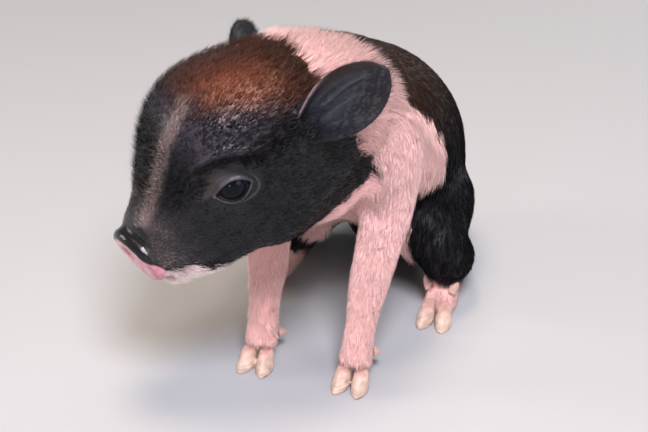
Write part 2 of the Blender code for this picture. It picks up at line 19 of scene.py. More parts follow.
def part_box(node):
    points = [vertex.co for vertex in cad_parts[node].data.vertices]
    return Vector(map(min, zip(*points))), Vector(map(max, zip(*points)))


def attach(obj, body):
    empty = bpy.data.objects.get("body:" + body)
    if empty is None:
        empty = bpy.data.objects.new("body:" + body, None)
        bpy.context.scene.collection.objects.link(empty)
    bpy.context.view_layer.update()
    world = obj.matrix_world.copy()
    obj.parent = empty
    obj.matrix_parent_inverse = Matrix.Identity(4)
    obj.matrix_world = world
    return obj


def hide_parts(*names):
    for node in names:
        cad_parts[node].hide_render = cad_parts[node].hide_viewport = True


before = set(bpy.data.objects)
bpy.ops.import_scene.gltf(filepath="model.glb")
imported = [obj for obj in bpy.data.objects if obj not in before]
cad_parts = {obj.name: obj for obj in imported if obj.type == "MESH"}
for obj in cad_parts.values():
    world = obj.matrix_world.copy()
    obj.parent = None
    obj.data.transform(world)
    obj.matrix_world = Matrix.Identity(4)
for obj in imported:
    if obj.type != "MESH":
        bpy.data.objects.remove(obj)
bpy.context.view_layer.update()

MM = 0.001
SIDES = (1, -1)
FLESH = ["head", "neck", "torso", "foreleg_left", "foreleg_right", "hindleg_left", "hindleg_right", "tail"]

# The head's frame and what sits in it, with the values of the part's source
HEAD_YAW = math.radians(45)
HEAD_PITCH = math.radians(29)
EYE_CENTRE = (-0.6, 17.4, 0.9)
EYE_AIM = (0.30, 0.94, 0.10)
EYE_RADIUS = 6.4
EYE_SLANT = math.radians(-5)
DISC_CENTRE = (37.0, 0.4, -11.6)
DISC_HALF = (12.2, 10.4)
DISC_TIP_BACK = math.radians(-1)
DISC_YAW = math.radians(11)
EAR_LEFT = ((-29, 22.5, 3), (-0.86, 0.42, 0.28), (0.45, 0.75, 0.45))
EAR_RIGHT = ((-27.5, -22, 5), (-0.45, -0.85, -0.25), (0.80, -0.50, 0.30))
EARS = (EAR_LEFT, EAR_RIGHT)
EAR_LENGTH = 34
EAR_WIDTH = 23.5

# Eyes, nose and mouth, finer than in the part's source
LID_THICK = 1.0
EYE_LENGTH = 6.1
EYE_UPPER = 3.6
EYE_LOWER = 4.2
RING_OUT = 1.6
RING_BACK = 0.7
PUPIL_ANGLE = 0.34
IRIS_ANGLE = 0.86
TEAR_LINE_RADIUS = 0.16
JOWL = 2.8
NOSTRIL = (4.5, 0.4)
NOSTRIL_HALF = (1.7, 2.3)
MOUTH = [(34.8, 0, -22), (33, 6, -21.3), (27, 11, -21.4), (18, 15, -21.6), (9, 19, -20), (3, 22, -16.5)]

# Skin
CLOSE_GAPS = 0.00025
SKIN_CELL = 0.0007
CLAW_CELL = 0.00035
MAP_CELL = 0.0016
CREASES = [
    (0.30, [(19, -47, 20), (25, -49, 19), (31, -46, 20)]),
    (0.30, [(20, -50, 13), (26, -52, 12.5), (32, -49, 13)]),
    (0.35, [(36, 5, 12), (40, 4, 11), (45, 6, 12)]),
]
BODY_PASSES = 36
COAT_DEPTH_BODY = 0.0009
COAT_DEPTH_FACE = 0.0004

# Camera
CAMERA_AZIMUTH = math.radians(20)
CAMERA_ELEVATION = math.radians(30)
CAMERA_DISTANCE = 0.5
VIEW_WIDTH = 0.214
SENSOR_WIDTH = 36
AIM_FROM_HEAD = Vector((34.5, 11.6, -20.4)) * MM


# The head's frame


def head_axes():
    forward = Vector((
        -math.sin(HEAD_YAW) * math.cos(HEAD_PITCH),
        -math.cos(HEAD_YAW) * math.cos(HEAD_PITCH),
        -math.sin(HEAD_PITCH),
    ))
    left = Vector((-forward.y, forward.x, 0)).normalized()
    return np.array((forward, left, forward.cross(left)))


AXES = head_axes()


def box_middle(name):
    low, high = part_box(name)
    return (np.array(low) + np.array(high)) / 2


def head_centre():
    """From the middle of the two eye nodes, which have the same place in the head's frame."""
    middle = (box_middle("eye_left") + box_middle("eye_right")) / 2
    return middle - (AXES[0] * EYE_CENTRE[0] + AXES[2] * EYE_CENTRE[2]) * MM


CENTRE = head_centre()
MIDDLE_X = box_middle("torso")[0] / MM


def to_head(points):
    """World points in the head's frame, in millimetres."""
    return (points - CENTRE) @ AXES.T / MM


def from_head(points):
    return CENTRE + np.asarray(points) @ AXES * MM


def along_axes(points, centre, *axes):
    """World points from the centre, in millimetres along each axis."""
    local = (points - centre) / MM
    return [local @ axis for axis in axes]


def head_vector(vector):
    """A unit direction of the head's frame, in the world."""
    turned = np.asarray(vector, float) @ AXES
    return turned / np.linalg.norm(turned)


# Small helpers on arrays


def ramp(low, high, value):
    share = np.clip((value - low) / (high - low), 0, 1)
    return share * share * (3 - 2 * share)


def fall(low, high, value):
    return 1 - ramp(low, high, value)


def greater(first, second, softness):
    """The greater of the two, with the change from one to the other rounded."""
    return (first + second + np.sqrt((first - second) ** 2 + softness**2)) / 2


def hump(value, middle, width):
    return np.exp(-(((value - middle) / width) ** 2))


def lengths(vectors):
    return np.linalg.norm(vectors, axis=1)


def unit(vectors):
    return vectors / np.maximum(np.linalg.norm(vectors, axis=-1, keepdims=True), 1e-12)


def on_table(value, table):
    """The second column of the table, read at these values of the first."""
    return np.interp(value, *np.array(table).T)


def waves(points, size, seed, count=14):
    """A smooth random field of about -1 to 1 at world points, with features of this size in millimetres."""
    draw = np.random.default_rng(seed)
    directions = unit(draw.normal(size=(count, 3)))
    points = points / MM
    rates = draw.uniform(0.6, 1.6, count) * 2 * math.pi / size
    phases = draw.uniform(0, 2 * math.pi, count)
    total = np.zeros(len(points))
    for direction, rate, phase in zip(directions, rates, phases):
        total += np.sin(points @ direction * rate + phase)
    return total / math.sqrt(count / 2)


FAR = 99.0


def near_line(points, line, reach=9.0):
    """For each point: distance to a line of points, the nearest place on it, and its share of the line."""
    low, high = line.min(axis=0) - reach, line.max(axis=0) + reach
    close = np.flatnonzero(((points > low) & (points < high)).all(axis=1))
    best = np.full(len(points), FAR)
    nearest = np.zeros_like(points)
    along = np.zeros(len(points))
    some = points[close]
    least, spot, place_along = best[close], nearest[close], along[close]
    for i, (start, end) in enumerate(zip(line[:-1], line[1:])):
        run = end - start
        share = np.clip((some - start) @ run / (run @ run), 0, 1)
        place = start + share[:, None] * run
        away = np.sqrt(((some - place) ** 2).sum(axis=1))
        closer = away < least
        least[closer] = away[closer]
        spot[closer] = place[closer]
        place_along[closer] = ((i + share) / (len(line) - 1))[closer]
    best[close], nearest[close], along[close] = least, spot, place_along
    return best, nearest, along


def through(rows, per_span):
    """Points on a smooth curve through the rows, by the Catmull-Rom rule."""
    table = np.array(rows, float)
    padded = np.vstack([2 * table[0] - table[1], table, 2 * table[-1] - table[-2]])
    found = []
    for i in range(1, len(padded) - 2):
        a, b, c, d = padded[i - 1 : i + 3]
        slope, bend, twist = c - a, 2 * a - 5 * b + 4 * c - d, 3 * b - a - 3 * c + d
        for t in np.arange(per_span) / per_span:
            found.append(b + (slope * t + bend * t**2 + twist * t**3) / 2)
    found.append(table[-1])
    return np.array(found)


# Meshes


@contextmanager
def editing(mesh):
    """The mesh as a bmesh, written back at the end."""
    bm = bmesh.new()
    bm.from_mesh(mesh)
    yield bm
    bm.to_mesh(mesh)
    bm.free()


def triangulated(mesh):
    with editing(mesh) as bm:
        bmesh.ops.triangulate(bm, faces=bm.faces)


def new_object(name, mesh):
    obj = bpy.data.objects.new(name, mesh)
    bpy.context.scene.collection.objects.link(obj)
    return obj


def triangle_mesh(name, points, triangles):
    mesh = bpy.data.meshes.new(name)
    mesh.vertices.add(len(points))
    mesh.vertices.foreach_set("co", np.asarray(points, np.float32).ravel())
    mesh.loops.add(len(triangles) * 3)
    mesh.loops.foreach_set("vertex_index", np.asarray(triangles, np.int32).ravel())
    mesh.polygons.add(len(triangles))
    mesh.polygons.foreach_set("loop_start", np.arange(len(triangles), dtype=np.int32) * 3)
    mesh.update(calc_edges=True)
    return mesh


def ring_quads(rings, count):
    """The quads between rings of this many points, from each ring to the next."""
    quads = []
    for low in range(0, (rings - 1) * count, count):
        for i in range(count):
            j = (i + 1) % count
            quads.append((low + i, low + j, low + count + j, low + count + i))
    return quads


def values_of(items, name, kind, each):
    """A value of every item, read as an array with this many numbers to each."""
    found = np.empty(len(items) * each, kind)
    items.foreach_get(name, found)
    return found.reshape(-1, each)


def places(mesh):
    return values_of(mesh.vertices, "co", np.float32, 3).astype(float)


def set_places(mesh, points):
    mesh.vertices.foreach_set("co", points.astype(np.float32).ravel())
    mesh.update()


def normals(mesh):
    return values_of(mesh.vertex_normals, "vector", np.float32, 3).astype(float)


def edges_of(mesh):
    return values_of(mesh.edges, "vertices", np.int32, 2)


def triangles_of(mesh):
    return values_of(mesh.loops, "vertex_index", np.int32, 1).reshape(-1, 3)


def softened(mesh, weight, passes):
    """Moves each point towards the middle of its neighbours by its weight, again and again."""
    points = places(mesh)
    edges = edges_of(mesh)
    count = len(points)
    degree = np.bincount(edges.ravel(), minlength=count)[:, None]
    first, second = edges[:, 0], edges[:, 1]
    for _ in range(passes):
        total = np.empty_like(points)
        for axis in range(3):
            values = points[:, axis]
            total[:, axis] = np.bincount(first, values[second], count)
            total[:, axis] += np.bincount(second, values[first], count)
        points += (total / degree - points) * weight[:, None]
    set_places(mesh, points)


def evaluated(obj, name):
    graph = bpy.context.evaluated_depsgraph_get()
    mesh = bpy.data.meshes.new_from_object(obj.evaluated_get(graph))
    mesh.name = name
    bpy.data.objects.remove(obj)
    return new_object(name, mesh)


def remeshed(obj, name, cell):
    """The object's surface rebuilt from cells of this size."""
    remesh = obj.modifiers.new("cells", "REMESH")
    remesh.mode = "VOXEL"
    remesh.voxel_size = cell
    return evaluated(obj, name)


def grown_mesh(mesh, distance):
    copy = mesh.copy()
    with editing(copy) as bm:
        bmesh.ops.triangulate(bm, faces=bm.faces)
        bm.normal_update()
        for vert in bm.verts:
            vert.co += vert.normal * distance
    return copy


# Skin


def ear_half_width(s):
    """Half the ear's spread width at a share s of its length."""
    widest = 0.42
    if s < widest:
        return EAR_WIDTH / 2 * (0.62 + 0.38 * math.sin(math.pi / 2 * s / widest))
    return EAR_WIDTH / 2 * max(0.08, (1 - ((s - widest) / (1 - widest)) ** 2.2) ** 0.62)


EAR_SHARES = np.linspace(0, 1, 60)
EAR_HALVES = np.array([ear_half_width(s) for s in EAR_SHARES])
EAR_CURL = 2.2
EAR_STEPS = 70
EAR_ACROSS = 56

# Folds inside the ear: place and width across it, start and end along it, and height
EarFold = namedtuple("EarFold", "at wide start end rise")
EAR_FOLDS = [
    EarFold(-0.62, 0.13, 0.10, 0.95, 0.45),
    EarFold(-0.36, 0.07, 0.22, 0.88, 1.0),
    EarFold(-0.20, 0.10, 0.30, 0.80, 0.35),
    EarFold(0.06, 0.09, 0.12, 0.72, 0.95),
    EarFold(0.22, 0.10, 0.16, 0.60, 0.30),
    EarFold(0.46, 0.08, 0.08, 0.55, 0.40),
]


def ear_frame(ear):
    root, along, opens = ear
    along = head_vector(along)
    opens = head_vector(opens)
    opens = unit(opens - along * (opens @ along))
    return from_head(root), along, opens, np.cross(along, opens)


def ear_fold(s):
    return np.radians(105 + (24 - 105) * np.clip(s, 0, 1) ** 0.8)


def ear_place(points, ear):
    """For world points: the share along the ear, across it (-1 on top), and the distance from its leaf."""
    height, open_way, across = along_axes(points, *ear_frame(ear))
    s = height / EAR_LENGTH
    inner = np.clip(s, 0, 1)
    fold = ear_fold(inner)
    radius = np.interp(inner, EAR_SHARES, EAR_HALVES) / fold
    rise = radius - (open_way - EAR_CURL * inner**2)
    w = np.arctan2(across, rise) / fold
    return s, w, np.hypot(across, rise) - radius


def on_ear(points):
    """How surely each place is on an ear, from 0 to 1."""
    found = np.zeros(len(points))
    for ear in EARS:
        s, w, off = ear_place(points, ear)
        leaf = ramp(0.06, 0.16, s) * fall(1.04, 1.1, s)
        leaf *= fall(1.1, 1.3, np.abs(w)) * fall(2.6, 3.4, np.abs(off))
        found = np.maximum(found, leaf)
    return found


def ear_rise(s, w):
    """How far the ear's folds stand out at a share s along it and w across, in millimetres."""
    rise = 0 * w
    for fold in EAR_FOLDS:
        middle = fold.at * (1 - 0.25 * s) + 0.03 * np.sin(9 * s + 20 * fold.at)
        fade = ramp(fold.start - 0.1, fold.start + 0.15, s) * fall(fold.end - 0.25, fold.end, s)
        rise = rise + fold.rise * fade * hump(w, middle, fold.wide)
    return rise


def ear_mesh(name, ear):
    """A curved leaf, folded into a cup at its root, with long soft folds inside and a thin rim."""
    origin, along, opens, side = ear_frame(ear)
    points = []
    for face in (1, -1):
        for i in range(EAR_STEPS + 1):
            s = i / EAR_STEPS
            fold = float(ear_fold(s))
            radius = ear_half_width(s) / fold
            thick = 2.0 + (0.9 - 2.0) * min(1, s * 1.6)
            for j in range(EAR_ACROSS + 1):
                w = 2 * j / EAR_ACROSS - 1
                angle = fold * w
                half = thick / 2 * (1 - 0.5 * w**4)
                if face == 1:
                    half += float(ear_rise(s, w))
                inward = radius - face * half
                spot = side * math.sin(angle) * inward + opens * (radius - math.cos(angle) * inward)
                ripple = 0.5 * math.sin(9 * s + 2) * w**2 * s
                curl = opens * (EAR_CURL * s**2 + ripple)
                points.append(origin + (along * EAR_LENGTH * s + spot + curl) * MM)
    row = EAR_ACROSS + 1
    layer = row * (EAR_STEPS + 1)
    quads = []
    for i in range(EAR_STEPS):
        for j in range(EAR_ACROSS):
            a = i * row + j
            quads.append((a, a + row, a + row + 1, a + 1))
            quads.append((layer + a, layer + a + 1, layer + a + row + 1, layer + a + row))
        for j, flip in ((0, False), (EAR_ACROSS, True)):
            a = i * row + j
            quad = (a, layer + a, layer + a + row, a + row)
            quads.append(quad[::-1] if flip else quad)
    for i, flip in ((0, True), (EAR_STEPS, False)):
        for j in range(EAR_ACROSS):
            a = i * row + j
            quad = (a, layer + a, layer + a + 1, a + 1)
            quads.append(quad if flip else quad[::-1])
    triangles = [(a, b, c) for a, b, c, d in quads] + [(a, c, d) for a, b, c, d in quads]
    mesh = triangle_mesh(name, points, triangles)
    facing_out(mesh)
    return new_object(name, mesh)


def facing_out(mesh):
    with editing(mesh) as bm:
        bmesh.ops.recalc_face_normals(bm, faces=bm.faces)


def disc_frame():
    forward = head_vector((math.cos(DISC_TIP_BACK), math.sin(DISC_YAW), math.sin(DISC_TIP_BACK)))
    left = head_vector((0, 1, 0))
    left = unit(left - forward * (left @ forward))
    return from_head(DISC_CENTRE), forward, left, np.cross(forward, left)


def at_disc(points):
    """For world points: millimetres forward, left and up of the disc's centre, and the share of its oval."""
    d, a, c = along_axes(points, *disc_frame())
    return d, a, c, np.hypot(a / DISC_HALF[0], c / DISC_HALF[1])


def disc_mesh():
    """The snout disc as a rounded slab, to be fused with the rest."""
    centre, forward, left, up = disc_frame()
    profile = [(-8, 0.66), (-5, 0.84), (-3, 0.93), (-1.2, 0.985), (0.4, 1.0)]
    profile += [(1.3, 0.99), (1.9, 0.95), (2.3, 0.87), (2.4, 0.6), (2.3, 0.05)]
    count = 64
    points = []
    for reach, share in profile:
        for i in range(count):
            angle = 2 * math.pi * i / count
            rise = math.sin(angle) * DISC_HALF[1]
            across = math.cos(angle) * DISC_HALF[0]
            if rise > 0:
                across *= 1 - 0.16 * (rise / DISC_HALF[1]) ** 2
            points.append(centre + (left * across * share + up * rise * share + forward * reach) * MM)
    mesh = bpy.data.meshes.new("disc")
    with editing(mesh) as bm:
        verts = [bm.verts.new(point) for point in points]
        for quad in ring_quads(len(profile), count):
            bm.faces.new([verts[i] for i in quad])
        bm.faces.new(verts[:count])
        bm.faces.new(verts[-count:])
    facing_out(mesh)
    return mesh


def eye_frame(side):
    """The centre and the aim, along and across directions of the eye on this side (1 left, -1 right)."""
    aim = head_vector((EYE_AIM[0], EYE_AIM[1] * side, EYE_AIM[2]))
    along = head_vector((math.cos(EYE_SLANT), 0, -math.sin(EYE_SLANT)))
    along = unit(along - aim * (along @ aim))
    across = np.cross(along, aim) * side
    return from_head((EYE_CENTRE[0], EYE_CENTRE[1] * side, EYE_CENTRE[2])), aim, along, across


def plug_mesh(side):
    """A ball where the lids go, so that the skin closes over the eye before they are shaped."""
    mesh = bpy.data.meshes.new("plug")
    with editing(mesh) as bm:
        bmesh.ops.create_icosphere(bm, subdivisions=4, radius=(EYE_RADIUS + LID_THICK) * MM)
        bmesh.ops.translate(bm, verts=bm.verts, vec=Vector(eye_frame(side)[0]))
    return mesh


def joined(name, meshes):
    whole = bpy.data.meshes.new(name)
    with editing(whole) as bm:
        for mesh in meshes:
            bm.from_mesh(mesh)
    return new_object(name, whole)


def keep_largest(obj):
    """Drops every loose shell but the one with most points."""
    edges = edges_of(obj.data)
    count = len(obj.data.vertices)
    label = np.arange(count)
    while True:
        low = np.minimum(label[edges[:, 0]], label[edges[:, 1]])
        new = label.copy()
        np.minimum.at(new, edges[:, 0], low)
        np.minimum.at(new, edges[:, 1], low)
        new = new[new]
        if (new == label).all():
            break
        label = new
    main = np.bincount(label).argmax()
    if (label == main).all():
        return
    with editing(obj.data) as bm:
        bm.verts.ensure_lookup_table()
        loose = [bm.verts[int(i)] for i in np.flatnonzero(label != main)]
        bmesh.ops.delete(bm, geom=loose, context="VERTS")


def on_floor(mesh):
    """Raises what lies below the floor to it, so that the model rests on flats."""
    points = places(mesh)
    points[:, 2] = np.maximum(points[:, 2], 0)
    set_places(mesh, points)


def fused_skin():
    """All flesh in one closed surface, softened where the solids are coarse and drawn in by the coat."""
    meshes = [grown_mesh(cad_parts[name].data, CLOSE_GAPS) for name in FLESH]
    meshes += [disc_mesh(), plug_mesh(1), plug_mesh(-1)]
    skin = remeshed(joined("piglet_skin", meshes), "piglet_skin", SKIN_CELL)
    keep_largest(skin)
    points = places(skin.data)
    f, l, u = to_head(points).T
    snout = ramp(24, 34, f) * (np.abs(l) < 30) * (u > -34)
    foot = fall(8, 22, points[:, 2] / MM)
    softened(skin.data, 0.6 * (1 - 0.8 * snout) * (1 - 0.6 * foot), BODY_PASSES)
    points = places(skin.data)
    f, l, u = to_head(points).T
    face = ramp(-30, -10, f) * (u > -34)
    depth = (COAT_DEPTH_BODY + (COAT_DEPTH_FACE - COAT_DEPTH_BODY) * face) * (1 - snout)
    depth *= ramp(0.5, 9, points[:, 2] / MM)
    set_places(skin.data, points - normals(skin.data) * depth[:, None])
    on_floor(skin.data)
    return skin


def refined(obj, wanted):
    """Splits the faces whose corners are all wanted; wanted is one flag for each point."""
    with editing(obj.data) as bm:
        bm.verts.ensure_lookup_table()
        edges = [edge for edge in bm.edges if wanted[edge.verts[0].index] and wanted[edge.verts[1].index]]
        bmesh.ops.subdivide_edges(bm, edges=edges, cuts=1, use_grid_fill=True)
        bmesh.ops.triangulate(bm, faces=[face for face in bm.faces if len(face.verts) > 4])
    obj.data.update()


def add_ear(skin, name, ear):
    """Joins an ear to the skin and blends the line where they meet."""
    leaf = ear_mesh(name, ear)
    boolean = skin.modifiers.new("ear", "BOOLEAN")
    boolean.operation = "UNION"
    boolean.solver = "MANIFOLD"
    boolean.object = leaf
    skin = evaluated(skin, "piglet_skin")
    bpy.data.objects.remove(leaf)
    points = places(skin.data)
    origin, along, _, _ = ear_frame(ear)
    local = (points - origin) / MM
    height = local @ along
    away = lengths(local - height[:, None] * along)
    near = hump(height, 5, 5) * fall(13, 18, away)
    softened(skin.data, 0.5 * near, 14)
    return skin


def lid_curves(a):
    """How far the upper and the lower lid's margin stand from the eye's long axis."""
    share = np.clip(1 - (a / EYE_LENGTH) ** 2, 0, None)
    lean = 1 + 0.16 * a / EYE_LENGTH
    return EYE_UPPER * share**0.85 / lean, EYE_LOWER * share**0.75 * lean


def round_eye(points, side):
    """For world points: millimetres forward, along and across the eye, and out from the lids' margin."""
    d, a, c = along_axes(points, *eye_frame(side))
    upper, lower = lid_curves(a)
    rise = np.where(c > 0, c - upper, -c - lower)
    beyond = np.clip(np.abs(a) - EYE_LENGTH, 0, None)
    out = np.where(beyond > 0, np.hypot(beyond, c), rise / np.sqrt(1 + (1.1 * a / EYE_LENGTH) ** 2))
    return d, a, c, out


def outer_ring(a, c):
    """The distance from the oval rim round the lids, and where it shows: below and at the outer corner."""
    wide, tall = EYE_LENGTH + RING_OUT, EYE_LOWER + RING_OUT
    along = a + RING_BACK
    ring = (np.hypot(along / wide, c / tall) - 1) * tall
    shows = fall(1, 5, a) * fall(1.5, 5.0, c - 0.3 * (a + 6))
    return ring, shows


def shape_eye(points, side):
    """Draws the skin over the eyeball, opens the lids and adds their rims and folds."""
    aim = eye_frame(side)[1]
    d, a, c, out = round_eye(points, side)
    away = np.hypot(a, c)
    near = (away < 15) & (d > -2)
    d, a, c, out, away = d[near], a[near], c[near], out[near], away[near]
    shell = EYE_RADIUS + LID_THICK
    lid = np.sqrt(np.clip(shell**2 - np.minimum(away, shell - 0.3) ** 2, 0, None))
    face = d - 0.75 * hump(away, 6.3, 2.6)
    new = greater(lid, face, 0.5)
    is_lower = fall(-0.8, 0.8, c)
    fade = fall(11, 14, away)
    ring, outer = outer_ring(a, c)
    # The lids' rim, the outer rim between two grooves, the fold below the eye and the dip above it
    new += 0.24 * hump(out, 0.5, 0.48)
    new -= 0.24 * hump(ring, -0.9, 0.5) * outer
    new += 0.20 * hump(ring, 0, 0.45) * outer
    new -= 0.22 * hump(ring, 1.1, 0.6) * outer
    new += 0.12 * hump(out, 4.2, 0.6) * is_lower
    new -= 0.12 * hump(out, 5.2, 0.5) * is_lower
    new -= 0.30 * hump(out, 2.2, 0.9) * (1 - is_lower) * fade * (1 - outer)
    ball = np.sqrt(np.clip(EYE_RADIUS**2 - np.minimum(away, EYE_RADIUS - 0.4) ** 2, 0, None))
    inside = fall(-0.55, -0.10, out)
    hollow = greater(ball - 1.4, new - 1.5, 0.4)
    new = new + (hollow - new) * inside
    moved = points.copy()
    moved[near] += aim * ((new - d) * MM)[:, None]
    return moved


def ends_taper(along, at_start, at_end):
    """Fades a groove out over these shares of its length."""
    taper = np.ones_like(along)
    if at_start:
        taper *= ramp(0, at_start, along)
    if at_end:
        taper *= fall(1 - at_end, 1, along)
    return taper


def mirrored(line, side):
    """The line on this side of the head (1 left, -1 right), as a smooth curve."""
    return through([(f, l * side, u) for f, l, u in line], 8)


def groove(points, line, depth, wide, *ends):
    """The depth at each point of a groove along a line."""
    away, _, along = near_line(points, line)
    return depth * hump(away, 0, wide) * ends_taper(along, *ends)


BROW_FOLD = [(15, 15, 9), (9, 19.5, 12.2), (3, 22.3, 13.2), (-3, 24.5, 12), (-7, 26.1, 9.8), (-12, 27, 7)]
BROW_FOLD += [(-16, 27, 3)]
EYE_BAG = [(8, 18, -7.5), (3, 21, -9.5), (-3, 24, -10), (-8, 26, -8.5)]


def folds(points, facing):
    """The lines of the face and the creases where the body bends."""
    head = to_head(points)
    shift = np.zeros(len(points))
    for side in SIDES:
        # The line of the mouth, the lower lip, the fold of the brow and two small bags under the eye
        mouth = mirrored(MOUTH, side)
        shift -= groove(head, mouth, 0.9, 0.55, 0.0, 0.2)
        shift += groove(head, mouth - (0, 0, 1.5), 0.45, 0.9, 0.0, 0.3)
        away, nearest, along = near_line(head, mirrored(BROW_FOLD, side))
        above = ramp(-1, 1, (head[:, 2] - nearest[:, 2]) + 0.4 * (head[:, 0] - nearest[:, 0]))
        taper = ends_taper(along, 0.35, 0.35)
        shift -= 1.1 * hump(away, 0.2, 1.3) * taper
        shift -= 0.5 * hump(away, 2.8, 2.4) * (1 - above) * taper
        shift += 0.8 * hump(away, 2.8, 2.0) * above * taper
        for drop, depth in ((0, 0.22), (2.2, 0.16)):
            shift -= groove(head, mirrored(EYE_BAG, side) - (0, 0, drop), depth, 0.5, 0.3, 0.3)
    for depth, line in CREASES:
        for side in SIDES:
            course = through([(MIDDLE_X + side * (x - MIDDLE_X), y, z) for x, y, z in line], 6)
            away, _, along = near_line(points / MM, course)
            taper = ends_taper(along, 0.3, 0.3)
            shift -= depth * hump(away, 0, 0.8) * taper
            shift += 0.5 * depth * hump(away, 2.0, 1.0) * taper
    return points + facing * (shift * MM)[:, None]


def fuller_jaw(points, facing):
    """Swells the lower jaw and the jowls."""
    f, _, u = to_head(points).T
    swell = hump(f, 8, 22) * fall(-22, -12, u) * ramp(-44, -36, u)
    return points + facing * (JOWL * swell * MM)[:, None]


def shape_nose(points):
    """Opens the nostrils and dishes the face of the snout disc."""
    centre, forward, _, _ = disc_frame()
    d, a, c, share = at_disc(points)
    front = ramp(0.2, 1.6, d) * (share < 1.2)
    moved = d - 0.5 * front * fall(0.2, 0.8, share)
    moved += 0.18 * front * hump(share, 0.86, 0.08)
    for side in SIDES:
        wide = (a - side * NOSTRIL[0]) / NOSTRIL_HALF[0]
        tall = (c - NOSTRIL[1] - 0.25 * side * (a - side * NOSTRIL[0])) / NOSTRIL_HALF[1]
        away = np.hypot(wide, tall)
        moved -= 3.4 * front * fall(0.55, 1.05, away)
        moved += 0.25 * front * hump(away, 1.25, 0.2)
    moved -= 0.35 * (hump(a, 0, 0.5) * fall(-6, -2, c) * front)
    wander = 0.35 * waves(points, 4, 32)
    ring = -0.20 * hump(d, -2.8, 1.0) + 0.14 * hump(d, 0.2, 1.0)
    for back, depth in ((-4.4, 0.12), (-5.6, 0.10), (-6.9, 0.08)):
        ring -= depth * hump(d + wander, back, 0.4) * ramp(-1, 4, c) * (1 + 1.5 * wander)
    across = unit(points - (centre + forward * (d * MM)[:, None]))
    ring *= (share > 0.55) * (share < 1.4) * (d > -12)
    points = points + across * (ring * MM)[:, None]
    return points + forward * ((moved - d) * MM)[:, None]


def bare_skin():
    skin = fused_skin()
    f, l, u = to_head(places(skin.data)).T
    refined(skin, (f > -20) & (u > -38) & (np.abs(l) < 40))
    for side in SIDES:
        refined(skin, lengths((places(skin.data) - eye_frame(side)[0]) / MM) < 12.5)
    refined(skin, lengths((places(skin.data) - from_head(DISC_CENTRE)) / MM) < 14)
    skin = add_ear(skin, "leaf_left", EAR_LEFT)
    skin = add_ear(skin, "leaf_right", EAR_RIGHT)
    set_places(skin.data, fuller_jaw(places(skin.data), normals(skin.data)))
    points = folds(places(skin.data), normals(skin.data))
    points = shape_nose(points)
    points = shape_eye(points, 1)
    points = shape_eye(points, -1)
    set_places(skin.data, points)
    on_floor(skin.data)
    triangulated(skin.data)
    skin.data.shade_smooth()
    return skin


skin = bare_skin()
print("skin", len(skin.data.vertices), len(skin.data.polygons))


# Markings


def ragged_edge(points):
    """A few tenths of a millimetre to about a millimetre of wander for the edge of a marking."""
    return 0.9 * waves(points, 9, 11) + 0.45 * waves(points, 3, 12)


BELT_EDGE = [(0, 23), (30, 23), (48, 22), (65, 17), (79, 8), (91, -6), (102, -19), (121, -26), (128, -28)]
JAW_EDGE = [(-44, -33), (-20, -34), (-5, -32.5), (5, -31.5), (15, -27.5), (23, -21.5), (30, -17.5), (40, -15)]


def markings(points):
    """How black each place is, from 0 to 1, and the other shares that colour it, at world points; some shares
    place painted light and shade.
    """
    f, l, u = to_head(points).T
    x, y, z = (points / MM).T
    wander = ragged_edge(points)
    jaw = on_table(f, JAW_EDGE)
    head = np.minimum(f + 41 - 6 * ramp(0, 16, -l) + 1.5 * np.sin(u / 6), u - jaw)
    edge = on_table(z, BELT_EDGE)
    side = np.abs(x - MIDDLE_X)
    right = fall(-12, 2, x - MIDDLE_X)
    edge = edge + 21 * right * ramp(56, 80, z)
    body = y - edge - 1.2 * np.sin(z / 7 + 2 * (x > MIDDLE_X))
    thigh = np.minimum(np.minimum(side - 21, y + 3.5), 56 - z)
    body = np.maximum(body, thigh)
    head = np.maximum(head, 6 * on_ear(points) - 3)
    sock = 13.0 - z - 0.45 * np.clip(y - 8, 0, None) + 0.8 * wander
    black = ramp(-0.8, 0.8, np.maximum(head, body) + wander)
    white_foot = ramp(-1.6, 1.6, sock) * (y < 58)
    black = np.maximum(black * (1 - white_foot), on_ear(points))
    stripe_at = through([(28, 6.2, 1), (18, 9.0, 12), (8, 10.8, 22.5), (1, 9.8, 27), (-6, 7.5, 30)], 6)
    near = (f > -10) & (u > -4)
    away = np.full(len(points), 50.0)
    away[near] = near_line(np.stack([f, l, u], 1)[near], stripe_at)[0]
    stripe = fall(0.8, 4.2, away + 0.35 * wander) * ramp(-8, 4, f)
    # The brow fold's line, for the painted shade in the fold
    away, _, along = near_line(np.stack([f, np.abs(l), u], 1), mirrored(BROW_FOLD, 1))
    brow = fall(0.5, 3.2, away) * ends_taper(along, 0.3, 0.3)
    muzzle = hump(f, 31, 7) * ramp(-23, -18, u) * (0.75 + 0.25 * wander)
    return SimpleNamespace(
        black=black,
        stripe=stripe,
        brow=brow,
        muzzle=muzzle,
        # Top of the head: partly the hair's own brown, partly painted warm light of the lamp above
        crown=ramp(112, 121, z + 0.7 * wander) * (f > -60) * (u > 0),
        # Back and right of the crown, where the painted lamp light fades to a darker brown
        poll=np.maximum(ramp(-27, -36, f), ramp(2, 14, -l + wander)),
        # Painted hot spot of the warm lamp on the top of the forehead
        glow=hump(f, -17, 13) * hump(l, 15, 10),
        # Muzzle side, where painted bluish glints lie on scattered hairs
        muzzle_glint=hump(f, 24, 9) * ramp(-24, -19, u) * fall(-8, 0, u),
        # Mid forehead, where a painted violet reflection of the cool light lies
        forehead=ramp(9, 17, u) * ramp(-34, -20, f) * fall(0, 13, f),
        # Upper body, where a painted warm sheen from the light above lies on the black
        back=ramp(60, 110, z),
        head=ramp(-46, -36, f) * ramp(-42, -34, u),
        face=ramp(-12, 8, f) * ramp(-40, -32, u),
        foot=fall(8, 22, z),
        under=fall(0, 6, u - jaw),
    )


def blend(first, second, share):
    """Row by row from the first to the second, by a share for each row."""
    share = np.asarray(share)[:, None]
    return first * (1 - share) + np.asarray(second) * share


def layered(colour, *layers):
    """The colour with others laid over it in turn, each by its share."""
    for over, share in layers:
        colour = blend(colour, over, share)
    return colour


